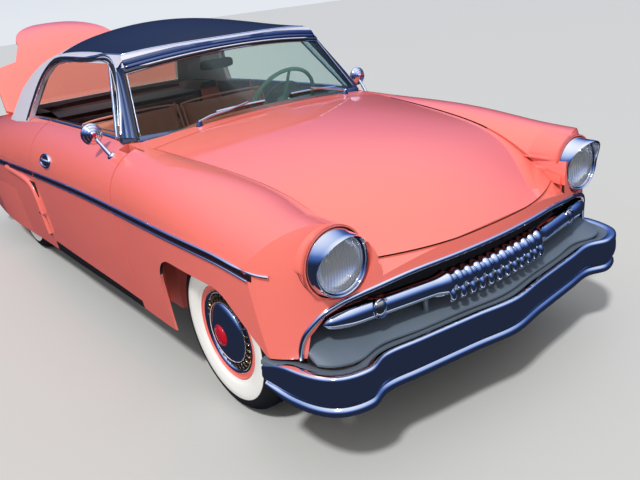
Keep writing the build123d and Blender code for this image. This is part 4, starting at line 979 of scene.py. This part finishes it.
# drip rail, black rubber and inner bead round each side opening
opening = {"edge": [(0.873, 0.970), (0.585, 1.378), (0.30, 1.384), (-0.02, 1.388), (-0.314, 1.386),
                    (-0.454, 1.338), (-0.594, 1.240), (-0.709, 0.990)], "centre": Vector((0.08, 0, 1.18))}
track = smoothLine([(x, 0, z) for x, z in opening["edge"]], 10)
for label, offset, width, rise, material, slot in (
        ("drip_rail", 0.017, 0.013, 0.010, stainless, "bright_chrome"),
        ("side_rubber", 0.0040, 0.016, 0.005, rubberSeal, "frame_black"),
        ("side_bead", -0.0045, 0.005, 0.007, stainless, "bright_chrome")):
    for side in sides:
        line, normals = [], []
        for i, p in enumerate(track):
            along = (track[min(i + 1, len(track) - 1)] - track[max(i - 1, 0)]).normalized()
            outward = Vector((-along.z, 0, along.x))
            if outward.dot(p - opening["centre"]) < 0:
                outward = -outward
            q = p + outward * offset
            hit, normal = castSide(roofTree, q.x, q.z, side)
            if hit is not None and abs(hit.y) > 0.45 and q.z > 1.02:
                line.append(hit)
                normals.append(normal)
        addMoulding(f"{label}_{side}", evened(line, 5), evened(normals, 9), halfRound(width, rise), material,
                    "body")
print("roof trim on")

# belt mouldings, just outside the first place across the car where the panel's shoulder is hit from above; the
# door's part swings with the door
belt = {"parts": [("door", -0.318, 0.862, "door_{}"), ("quarter", -0.72, -0.330, "body")], "from": 0.70,
        "step": 0.004, "steps": 70, "least": 0.93, "out": 0.012, "lean": 0.35}
for side, sign in sides.items():
    for label, x0, x1, body in belt["parts"]:
        line = []
        for x in stepsTo(x0, x1, 60):
            hits = (castDown(topTree, x, sign * (belt["from"] + belt["step"] * step))[0]
                    for step in range(belt["steps"]))
            shoulder = next((hit for hit in hits if hit is not None and hit.z > belt["least"]), None)
            if shoulder is not None:
                line.append(shoulder + Vector((0, sign * belt["out"], 0)))
        normals = [Vector((0, sign * belt["lean"], 1)).normalized()] * len(line)
        addMoulding(f"belt_strip_{label}_{side}", line, normals, halfRound(0.024, 0.010), stainless,
                    body.format(side))
print("belt strips on")


# places that are known by their picture position, found on the panel that carries them
def pixelHit(tree, u, v):
    ray = (forward * camera["focal"] + cameraRight * (u - camera["frameWidth"] / 2)
           + cameraUp * (camera["frameHeight"] / 2 - v)).normalized()
    hit, normal, _, _ = tree.ray_cast(Vector(camera["place"]), ray)
    return hit, (-normal if hit is not None and normal.dot(ray) > 0 else normal)


# wipers: pivot on the cowl, sprung arm and a rubber blade on the glass
screenTree = surfaceTree(["windscreen"])
cowlTree = surfaceTree(["cowl", "hood", "front_fender_left", "front_fender_right"])
wipers = {"right": {"pivot": (200, 126), "joint": (247, 104), "blade": [(216, 113), (264, 102)]},
          "left": {"pivot": (345, 94), "joint": (309, 90), "blade": [(290, 95), (334, 88)]}}
wiperShape = {"cap": [(0.0, 0.030), (0.006, 0.030), (0.010, 0.026), (0.012, 0.014), (0.017, 0.009),
                      (0.019, -0.002)],
              "capAxis": (0.35, 0, 0.94), "lift": 0.020,
              "blade": [(-0.003, 0.0), (-0.003, 0.009), (0.003, 0.009), (0.003, 0.0)],
              "frame": [(-0.0045, 0.009), (-0.0035, 0.016), (0.0035, 0.016), (0.0045, 0.009)]}
for label, spec in wipers.items():
    pivot, _ = pixelHit(cowlTree, *spec["pivot"])
    joint, glassNormal = pixelHit(screenTree, *spec["joint"])
    ends = [pixelHit(screenTree, *p)[0] for p in spec["blade"]]
    addTurned(f"wiper_pivot_{label}", wiperShape["cap"], pivot, wiperShape["capAxis"], stainless, "body", 32)
    lift = glassNormal * wiperShape["lift"]
    arm = [(pivot + Vector((0, 0, 0.022)), 0.0058),
           (between(pivot, joint, 0.25) + Vector((0, 0, 0.024)), 0.0066),
           (between(pivot, joint, 0.6) + lift * 1.3, 0.0048), (joint + lift, 0.0036)]
    addTube(f"wiper_arm_{label}", arm, stainless, "body", 12)
    line = [castAlong(screenTree, between(*ends, t), glassNormal, 0.2)[0] for t in stepsTo(0, 1, 10)]
    normals = [glassNormal] * len(line)
    addMoulding(f"wiper_blade_{label}", line, normals, wiperShape["blade"], rubberSeal, "body")
    addMoulding(f"wiper_frame_{label}", line, normals, wiperShape["frame"], stainless, "body")

# door mirrors: ringed bowl with a red centre, on a short arm given as (share of the reach, radius)
mirrorSilver = chromePlate("silvered mirror glass", "#F5F7F8", 0.01)
mirror = {"radius": 0.062, "scale": 0.83, "inset": 0.008, "footX": -0.012, "footY": 0.819, "footZ": 0.004,
          "bowl": [(0.0, -0.010), (0.057, -0.010), (0.062, -0.008), (0.0645, -0.003), (0.0640, 0.004),
                   (0.0600, 0.010), (0.0560, 0.0125), (0.0545, 0.0110), (0.0525, 0.0130), (0.0460, 0.0190),
                   (0.0400, 0.0225), (0.0385, 0.0210), (0.0360, 0.0235), (0.0290, 0.0285), (0.0230, 0.0310),
                   (0.0215, 0.0295), (0.0190, 0.0325), (0.0120, 0.0365)],
          "cap": [(0.013, 0.0355), (0.0115, 0.0385), (0.0075, 0.0405), (0.0, 0.0412)],
          "glass": [(0.0, -0.0108), (0.044, -0.0108), (0.0455, -0.0098)],
          "arm": [(-0.14, 0.0105), (0.0, 0.0115), (0.25, 0.0095), (0.62, 0.0080), (0.82, 0.0085), (1.0, 0.010)],
          "plate": [(0.0, 0.010), (0.010, 0.0095), (0.018, 0.006), (0.022, 0.001), (0.023, -0.004)]}
bowl, cap = ([(r * mirror["scale"], a) for r, a in mirror[part]] for part in ("bowl", "cap"))
for side, sign in sides.items():
    low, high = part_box(f"mirror_{side}")
    outer = max(abs(low[1]), abs(high[1])) - mirror["radius"]
    centre = Vector((low[0] + mirror["inset"], sign * outer, high[2] - mirror["radius"]))
    foot = Vector((high[0] + mirror["footX"], sign * mirror["footY"], low[2] + mirror["footZ"]))
    body = f"door_{side}"
    head = addTurned(f"mirror_head_{side}", bowl, centre, (1, 0, 0), chrome, body, 72)
    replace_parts(head, f"mirror_{side}")
    addTurned(f"mirror_centre_{side}", cap, centre, (1, 0, 0), redCap, body, 40)
    addTurned(f"mirror_glass_{side}", mirror["glass"], centre, (1, 0, 0), mirrorSilver, body, 60)
    addTube(f"mirror_arm_{side}", [(between(foot, centre, t), radius) for t, radius in mirror["arm"]], chrome,
            body, 20)
    base, baseNormal = castDown(topTree, foot.x, foot.y)
    addTurned(f"mirror_foot_{side}", mirror["plate"], base, baseNormal, chrome, body, 36)
print("wipers and mirrors on")

# door handles: oval escutcheon, a dark well of painted shade and a pull bar
handle = {"x": 0.0, "z": 0.870, "halfLong": 0.078, "halfHigh": 0.034, "around": 48, "pullHalf": 0.068,
          "wellRings": [(0.5, 0.0012), (1.0, 0.004)]}
around = handle["around"]
for side in sides:
    ring, normals = [], []
    for k in range(around):
        angle = 2 * math.pi * k / around
        hit, normal = castSide(sideTrees[side], handle["x"] + handle["halfLong"] * math.cos(angle),
                               handle["z"] + handle["halfHigh"] * math.sin(angle), side)
        ring.append(hit)
        normals.append(normal)
    body = f"door_{side}"
    addMoulding(f"handle_ring_{side}", ring, normals, halfRound(0.017, 0.012), chrome, body, closed=True)
    middle, out = castSide(sideTrees[side], handle["x"], handle["z"], side)
    well = [middle + out * 0.001] + [between(middle, p, share) + out * rise
                                     for share, rise in handle["wellRings"] for p in ring]
    faces = [(0, 1 + k, 1 + (k + 1) % around) for k in range(around)]
    faces += [(1 + k, 1 + around + k, 1 + around + (k + 1) % around, 1 + (k + 1) % around)
              for k in range(around)]
    # the dark maroon well under the pull is painted shade in the handle's recess
    addPiece(f"handle_well_{side}", well, faces, spearInsertAndWellShade, body)
    pull = []
    for t in stepsTo(-1, 1, 18):
        point = middle + Vector((handle["pullHalf"] * t, 0, 0.004)) + out * (0.004 + 0.012 * (1 - t * t))
        pull.append((point, 0.0035 + 0.0085 * math.sqrt(max(1 - (0.96 * t) ** 2, 0))))
    addTube(f"handle_pull_{side}", pull, chrome, body, 18)
print("handles on")

# vent windows: the pane gets a slim chrome frame and a stout rear post
vent = {"scan": 0.004, "footUp": 0.016, "headDown": 0.010}
for side in sides:
    ventTree = surfaceTree([f"vent_window_{side}"])
    low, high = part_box(f"vent_window_{side}")
    fore, aft = [], []
    for z in stepsTo(low[2] + vent["footUp"], high[2] - vent["headDown"], 26):
        hits = [castSide(ventTree, low[0] + vent["scan"] * i, z, side)
                for i in range(int((high[0] - low[0]) / vent["scan"]) + 1)]
        hits = [h for h in hits if h[0] is not None]
        if hits:
            aft.append(hits[0])
            fore.append(hits[-1])
    rails = [("fore", fore, 0.013, 0.007), ("post", aft, 0.020, 0.010)]
    for label, index in (("foot", 0), ("head", -1)):
        a, b = aft[index][0], fore[index][0]
        rail = [castSide(ventTree, between(a, b, t).x, a.z, side) for t in stepsTo(0.02, 0.98, 12)]
        rails.append((label, [r for r in rail if r[0] is not None], 0.012, 0.007))
    for label, rail, width, rise in rails:
        addMoulding(f"vent_{label}_{side}", [h for h, _ in rail], [n for _, n in rail], halfRound(width, rise),
                    stainless, f"door_{side}")
print("vent windows on")

# steering wheel: finger-ribbed acetate rim, three spokes, hub and a chrome horn ring
wheelTilt = math.radians(30)
steer = {"centre": Vector((0.575, 0.385, 1.005)),
         "axis": Vector((-math.cos(wheelTilt), 0, math.sin(wheelTilt))),
         "radius": 0.222, "tube": 0.0115, "ribs": 90, "ribDeep": 0.10, "steps": 360, "tubeSteps": 12,
         "spoke": [(0.02, 0.014), (0.07, 0.011), (0.14, 0.009), (0.215, 0.0085)], "spokeDish": 0.012,
         "hub": [(0.0, 0.030), (0.014, 0.029), (0.026, 0.024), (0.033, 0.014), (0.036, 0.0), (0.036, -0.020),
                 (0.016, -0.028), (0.010, -0.150)],
         "horn": 0.135, "hornSweep": 0.62, "hornUp": 0.008, "hornTube": 0.0042}
sideways = Vector((0, 1, 0))
upward = steer["axis"].cross(sideways).normalized()


def steerSpoke(angle):
    return sideways * math.cos(angle) + upward * math.sin(angle)


vertices = []
for k in range(steer["steps"]):
    angle = 2 * math.pi * k / steer["steps"]
    bulge = steer["tube"] * (1.0 - steer["ribDeep"] * max(0.0, math.cos(steer["ribs"] * angle)) ** 3)
    for m in range(steer["tubeSteps"]):
        bead = 2 * math.pi * m / steer["tubeSteps"]
        vertices.append(steer["centre"] + steerSpoke(angle) * (steer["radius"] + bulge * math.cos(bead))
                        + steer["axis"] * bulge * math.sin(bead))
rimPiece = addPiece("steering_rim", vertices, ringFaces(steer["steps"], steer["tubeSteps"], closedLine=True),
                    acetate, "steering_wheel")
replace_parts(rimPiece, "steering_wheel")
for label, degrees in (("left", 0), ("right", 180), ("low", 270)):
    spoke = steerSpoke(math.radians(degrees))
    line = [(steer["centre"] + spoke * r - steer["axis"] * steer["spokeDish"] * (1 - r / steer["radius"]), w)
            for r, w in steer["spoke"]]
    addTube(f"steering_spoke_{label}", line, acetate, "steering_wheel", 16)
addTurned("steering_hub", steer["hub"], steer["centre"], steer["axis"], acetate, "steering_wheel", 48)
hornLine = []
for t in stepsTo(-0.97, 0.97, 40):
    spoke = steerSpoke(-math.pi / 2 + t * math.pi * steer["hornSweep"])
    hornLine.append((steer["centre"] + spoke * steer["horn"] + steer["axis"] * steer["hornUp"],
                     steer["hornTube"]))
addTube("horn_ring", hornLine, chrome, "steering_wheel", 12)
print("steering wheel on")

# rear-view mirror under the header; its rings are (backward place, scale)
insideMirror = {"stemTop": Vector((0.575, 0.0, 1.365)), "halfWidth": 0.105, "halfHeight": 0.028, "around": 36,
                "stem": [((0, 0, 0), 0.006), ((-0.02, 0, -0.045), 0.006), ((-0.035, 0, -0.07), 0.008)],
                "head": (-0.040, 0, -0.078),
                "rings": [(-0.006, 0.90), (-0.009, 0.97), (-0.004, 1.0), (0.004, 0.99), (0.010, 0.90),
                          (0.014, 0.6), (0.015, 0.05)]}
stemTop, around = insideMirror["stemTop"], insideMirror["around"]
addTube("inside_mirror_stem", [(stemTop + Vector(place), radius) for place, radius in insideMirror["stem"]],
        chrome, "body", 12)
vertices = []
for back, scale in insideMirror["rings"]:
    for k in range(around):
        angle = 2 * math.pi * k / around
        across = squared(math.cos(angle), 0.5) * insideMirror["halfWidth"] * scale
        tall = squared(math.sin(angle), 0.5) * insideMirror["halfHeight"] * scale
        vertices.append(stemTop + Vector(insideMirror["head"]) + Vector((back, across, tall)))
rings = len(insideMirror["rings"])
faces = ringFaces(rings, around) + endFaces(rings, around)
addPiece("inside_mirror", vertices, faces, chassisBlackAndScoopShade, "body")
print("inside mirror on")


# ribbed upholstery cloth, clouded between two shades; the woven ribs are 1 mm wide and a little over 2 mm apart
def clothFabric(name, colour, seamColour, weave=150.0):
    material, tree, principled = newMaterial(name, {"Roughness": 0.62, "Sheen Weight": 0.25})
    coords = addNode(tree, "ShaderNodeTexCoord").outputs["Object"]
    cloud = addNode(tree, "ShaderNodeTexNoise", {"Scale": 9.0, "Detail": 4.0}, {"Vector": coords})
    mix = addNode(tree, "ShaderNodeMix", {"data_type": "RGBA", 6: linear(colour), 7: linear(seamColour)},
                  {"Factor": cloud.outputs["Fac"]})
    tree.links.new(mix.outputs[2], principled.inputs["Base Color"])
    threads = addNode(tree, "ShaderNodeTexWave", {"Scale": weave, "Distortion": 1.5, "Detail": 1.0},
                      {"Vector": coords})
    addNode(tree, "ShaderNodeBump", {"Strength": 0.12, "Distance": 0.0006}, {"Height": threads.outputs["Fac"]},
            principled.inputs["Normal"])
    return material


tanCloth = clothFabric("tan ribbed seat cloth", "#D68A70", "#C87C64")
maroonCloth = clothFabric("dark maroon seat cloth", "#5A2226", "#4A1A1F")
doorCloth = clothFabric("pale green door cloth", "#A5C4B4", "#93B3A4")
carpet = clothFabric("dark loop carpet", "#2A2322", "#1F1A19", 250.0 / 3)
coralVinyl = satinPaint("coral seat piping vinyl", "#F2A594", 0.3, 0.0, 300.0, 0.1)

# seats: sewn cloth pads over a carpeted base, with piping on the front backs
seat = {"across": 10, "along": 5, "deep": 2, "bevel": 0.035, "voxel": 0.013, "pressure": 4.0, "frames": 20,
        "cap": 0.022, "sidePull": 0.12, "groove": 0.007, "fill": 0.8, "floorZ": 0.345,
        "bases": [("front", -0.02, 0.55, 0.620, 0.455), ("rear", -0.775, -0.39, 0.530, 0.43)],
        "piping": [(0.015, 0.10), (0.012, 0.5), (0.015, 0.88), (0.05, 0.965), (0.5, 0.985), (0.95, 0.965),
                   (0.985, 0.88), (0.988, 0.5), (0.985, 0.10)], "pipingRadius": 0.0062}
frontCushion = {"foot": (0.10, 0.558), "head": (0.575, 0.580), "thick": 0.15}  # foot and head are (x, z)
frontBack = {"foot": (0.128, 0.545), "head": (-0.052, 1.045), "thick": 0.13}
leftHalf, rightHalf = (0.008, 0.640), (-0.640, -0.008)
padForms = {
    "front_cushion_left": {**frontCushion, "y": leftHalf},
    "front_cushion_right": {**frontCushion, "y": rightHalf},
    "front_back_left": {**frontBack, "y": leftHalf},
    "front_back_right": {**frontBack, "y": rightHalf},
    "rear_cushion": {"foot": (-0.760, 0.535), "head": (-0.362, 0.556), "thick": 0.15, "y": (-0.540, 0.540)},
    "rear_back": {"foot": (-0.700, 0.540), "head": (-0.770, 0.985), "thick": 0.10, "y": (-0.540, 0.540)}}


# a place in a pad: s across it, t from foot to head, and depth in metres behind its face
def padPoint(form, s, t, depth):
    foot, head = (Vector((form[end][0], 0, form[end][1])) for end in ("foot", "head"))
    along = head - foot
    inward = Vector((along.z, 0, -along.x)).normalized()
    if inward.z > 0 or (abs(inward.z) < 0.6 and inward.x > 0):
        inward = -inward
    return foot + along * t + inward * depth + Vector((0, between(form["y"][0], form["y"][1], s), 0))


def applyAll(piece):
    graph = bpy.context.evaluated_depsgraph_get()
    graph.update()
    made = bpy.data.meshes.new_from_object(piece.evaluated_get(graph))
    piece.modifiers.clear()
    piece.data = made


# a box of points, remeshed, then swelled by the cloth simulation and drawn in along its sewn channels
def addPad(name, form, material, channels, node):
    across, along, deep = seat["across"], seat["along"], seat["deep"]
    vertices, index, faces = [], {}, []
    for i in range(across + 1):
        for j in range(along + 1):
            for k in range(deep + 1):
                if 0 < i < across and 0 < j < along and 0 < k < deep:
                    continue
                s, t, d = i / across, j / along, k / deep
                index[(i, j, k)] = len(vertices)
                vertices.append(padPoint(form, 0.02 + 0.96 * s, 0.03 + 0.94 * t,
                                         form["thick"] * (0.08 + 0.84 * d)))
    for i in range(across):
        for j in range(along):
            faces += [(index[i, j, k], index[i + 1, j, k], index[i + 1, j + 1, k], index[i, j + 1, k])
                      for k in (0, deep)]
        for k in range(deep):
            faces += [(index[i, j, k], index[i + 1, j, k], index[i + 1, j, k + 1], index[i, j, k + 1])
                      for j in (0, along)]
    for j in range(along):
        for k in range(deep):
            faces += [(index[i, j, k], index[i, j + 1, k], index[i, j + 1, k + 1], index[i, j, k + 1])
                      for i in (0, across)]
    piece = addPiece(name, vertices, faces, material, "body")
    bpy.context.view_layer.objects.active = piece
    bevelled = piece.modifiers.new("soft edges", "BEVEL")
    bevelled.width = min(seat["bevel"], form["thick"] * 0.3)
    bevelled.segments = 3
    bevelled.limit_method = "ANGLE"
    remesh = piece.modifiers.new("even mesh", "REMESH")
    remesh.mode = "VOXEL"
    remesh.voxel_size = seat["voxel"]
    applyAll(piece)
    start = [v.co.copy() for v in piece.data.vertices]
    front = (padPoint(form, 0.5, 0.5, 0.0) - padPoint(form, 0.5, 0.5, 0.1)).normalized()
    cloth = piece.modifiers.new("stuffing", "CLOTH")
    cloth.settings.use_pressure = True
    cloth.settings.uniform_pressure_force = seat["pressure"]
    cloth.settings.effector_weights.gravity = 0.0
    cloth.settings.quality = 3
    for step in range(1, seat["frames"] + 1):
        bpy.context.scene.frame_set(step)
    applyAll(piece)
    bpy.context.scene.frame_set(1)
    for vertex, rest in zip(piece.data.vertices, start):
        move = vertex.co - rest
        bulge = front * move.dot(front)  # the frame under the cover keeps it from pulling in sideways
        move = bulge + (move - bulge) * seat["sidePull"]
        vertex.co = rest + move
        if move.length > seat["cap"]:
            vertex.co = rest + move.normalized() * seat["cap"]
    width = form["y"][1] - form["y"][0]
    piece.data.update()
    for vertex in piece.data.vertices:
        facing = max(vertex.normal.dot(front), 0.0)
        s = (vertex.co.y - form["y"][0]) / width
        edge = max(0.0, min(1.0, min(s, 1 - s) * 12))
        channel = abs(math.cos(math.pi * channels * s)) ** 10
        vertex.co = vertex.co - front * seat["groove"] * channel * facing * edge
    smooth = piece.modifiers.new("fine surface", "SUBSURF")
    smooth.levels = smooth.render_levels = 1
    for polygon in piece.data.polygons:
        polygon.use_smooth = True
    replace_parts(piece, node)


for name, form in padForms.items():
    if name.startswith("front"):
        addPad(f"seat_{name}", form, tanCloth, 7, "front_seat")
    else:
        addPad(f"seat_{name}", form, maroonCloth, 9, "rear_seat")
for side in sides:
    track = [padPoint(padForms[f"front_back_{side}"], s, t, 0.006) for s, t in seat["piping"]]
    addTube(f"seat_piping_{side}", [(p, seat["pipingRadius"]) for p in smoothLine(track, 8)], coralVinyl,
            "body", 12)
for label, x0, x1, half, top in seat["bases"]:
    vertices = [(x, y, z) for z in (seat["floorZ"], top)
                for x, y in ((x0, -half), (x1, -half), (x1, half), (x0, half))]
    faces = [(0, 1, 5, 4), (1, 2, 6, 5), (2, 3, 7, 6), (3, 0, 4, 7), (4, 5, 6, 7), (3, 2, 1, 0)]
    base = addPiece(f"seat_base_{label}", vertices, faces, carpet, "body", smooth=False)
    softened = base.modifiers.new("rounded edges", "BEVEL")
    softened.width, softened.segments = 0.02, 3

# cloth shelf behind the rear seat
shelf = {"back": -1.222, "front": -0.812, "halfWidth": 0.66, "rows": 12, "columns": 36, "pile": 0.004,
         "edgePile": 0.001, "noDeck": 1.036}
shelfTree = surfaceTree(["rear_deck"])
rows, columns = shelf["rows"], shelf["columns"]
vertices = []
for i in range(rows + 1):
    x = between(shelf["back"], shelf["front"], i / rows)
    for k in range(columns + 1):
        y = shelf["halfWidth"] * (2 * k / columns - 1)
        hit, _ = castDown(shelfTree, x, y)
        edge = i in (0, rows) or k in (0, columns)
        vertices.append((x, y, (hit.z if hit is not None else shelf["noDeck"])
                         + (shelf["edgePile"] if edge else shelf["pile"])))
addPiece("rear_shelf_cloth", vertices, gridFaces(rows, columns), maroonCloth, "body")
print("seats made")

# inner door panels: padded in upright channels, with a chrome pull
doorPanel = {"x": (-0.27, 0.81), "z": (0.47, 0.89), "rows": 12, "columns": 30, "noSkin": 0.72, "clear": 0.001,
             "pad": 0.009, "channelRise": 0.005, "channelColumns": 3.0, "fill": 0.4}
doorPull = {"x": (0.20, 0.42), "y": 0.665, "z": 0.76, "bow": 0.02, "radius": 0.009}
rows, columns = doorPanel["rows"], doorPanel["columns"]
for side, sign in sides.items():
    doorTree = surfaceTree([f"door_{side}"])
    vertices = []
    for j in range(rows + 1):
        for i in range(columns + 1):
            x, z = between(*doorPanel["x"], i / columns), between(*doorPanel["z"], j / rows)
            hit, _, _, _ = doorTree.ray_cast(Vector((x, sign * 0.2, z)), Vector((0, sign, 0)))
            y = abs(hit.y) if hit is not None else doorPanel["noSkin"]
            channel = abs(math.cos(math.pi * i / doorPanel["channelColumns"])) ** 8
            edge = i in (0, columns) or j in (0, rows)
            roll = 0.0 if edge else doorPanel["pad"] + doorPanel["channelRise"] * (1 - channel)
            vertices.append((x, sign * (y - roll - doorPanel["clear"]), z))
    piece = addPiece(f"door_panel_{side}", vertices, gridFaces(rows, columns), doorCloth, f"door_{side}")
    bar = []
    for t in stepsTo(0, 1, 14):
        y = doorPull["y"] - doorPull["bow"] * math.sin(math.pi * t)
        bar.append((Vector((between(*doorPull["x"], t), sign * y, doorPull["z"])), doorPull["radius"]))
    addTube(f"door_pull_{side}", bar, chrome, f"door_{side}", 14)
print("door panels on")

# raised edge of the rear fender's scoop, a black sheet of painted shade in its mouth and the bright stone guard
# below it, as (x, z)
scoop = {"edge": [(-0.95, 0.712), (-0.70, 0.700), (-0.52, 0.683), (-0.425, 0.655), (-0.385, 0.600),
                  (-0.372, 0.520), (-0.368, 0.430), (-0.366, 0.345)],
         "mouth": [(-0.455, 0.690), (-0.345, 0.692), (-0.340, 0.655), (-0.352, 0.595)], "mouthRise": 0.0035,
         "mouthFaces": [(0, 1, 2, 3), (4, 7, 6, 5), (0, 4, 5, 1), (1, 5, 6, 2), (2, 6, 7, 3), (3, 7, 4, 0)]}
guard = {"x": (-0.425, -0.345), "z": (0.335, 0.475), "rises": [0.0, 0.007, 0.009, 0.0095, 0.009, 0.007, 0.0],
         "capX": (-0.43, -0.34), "capZ": 0.478}
for side, sign in sides.items():
    tree = sideTrees[side]
    hits = [castSide(tree, p.x, p.z, side) for p in smoothLine([(x, 0, z) for x, z in scoop["edge"]], 8)]
    line, normals = zip(*((hit, normal) for hit, normal in hits if hit is not None and abs(hit.y) > 0.7))
    addMoulding(f"scoop_edge_{side}", line, evened(normals, 3), halfRound(0.040, 0.019), paint, "body")
    # the mouth is a thin black box laid on the panel: painted shade
    corners = [castSide(tree, x, z, side)[0] for x, z in scoop["mouth"]]
    lifted = [p + Vector((0, sign * scoop["mouthRise"], 0)) for p in corners]
    addPiece(f"scoop_mouth_{side}", lifted + corners, scoop["mouthFaces"], chassisBlackAndScoopShade, "body", smooth=False)
    stations = [[castSide(tree, x, z, side) for x in stepsTo(*guard["x"], len(guard["rises"]) - 1)]
                for z in stepsTo(*guard["z"], 12)]
    addCover(f"stone_guard_{side}", stations, guard["rises"], chrome, "body")
    line, normals = zip(*(castSide(tree, x, guard["capZ"], side) for x in stepsTo(*guard["capX"], 8)))
    addMoulding(f"stone_guard_cap_{side}", line, normals, halfRound(0.018, 0.016), chrome, "body")

# the tail lamps' bright bezels
tailLamp = {"y": 0.80, "z": 0.70, "ahead": 0.085,
            "ring": [(0.066, 0.0), (0.076, -0.008), (0.080, -0.030), (0.078, -0.046), (0.070, -0.050),
                     (0.062, -0.045)]}
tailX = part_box("tail_lamps")[0][0]
for side, sign in sides.items():
    addTurned(f"tail_lamp_ring_{side}", tailLamp["ring"],
              (tailX + tailLamp["ahead"], sign * tailLamp["y"], tailLamp["z"]), (1, 0, 0), chrome, "body", 60)
print("rear fittings on")

bpy.context.scene.view_settings.view_transform = "Standard"
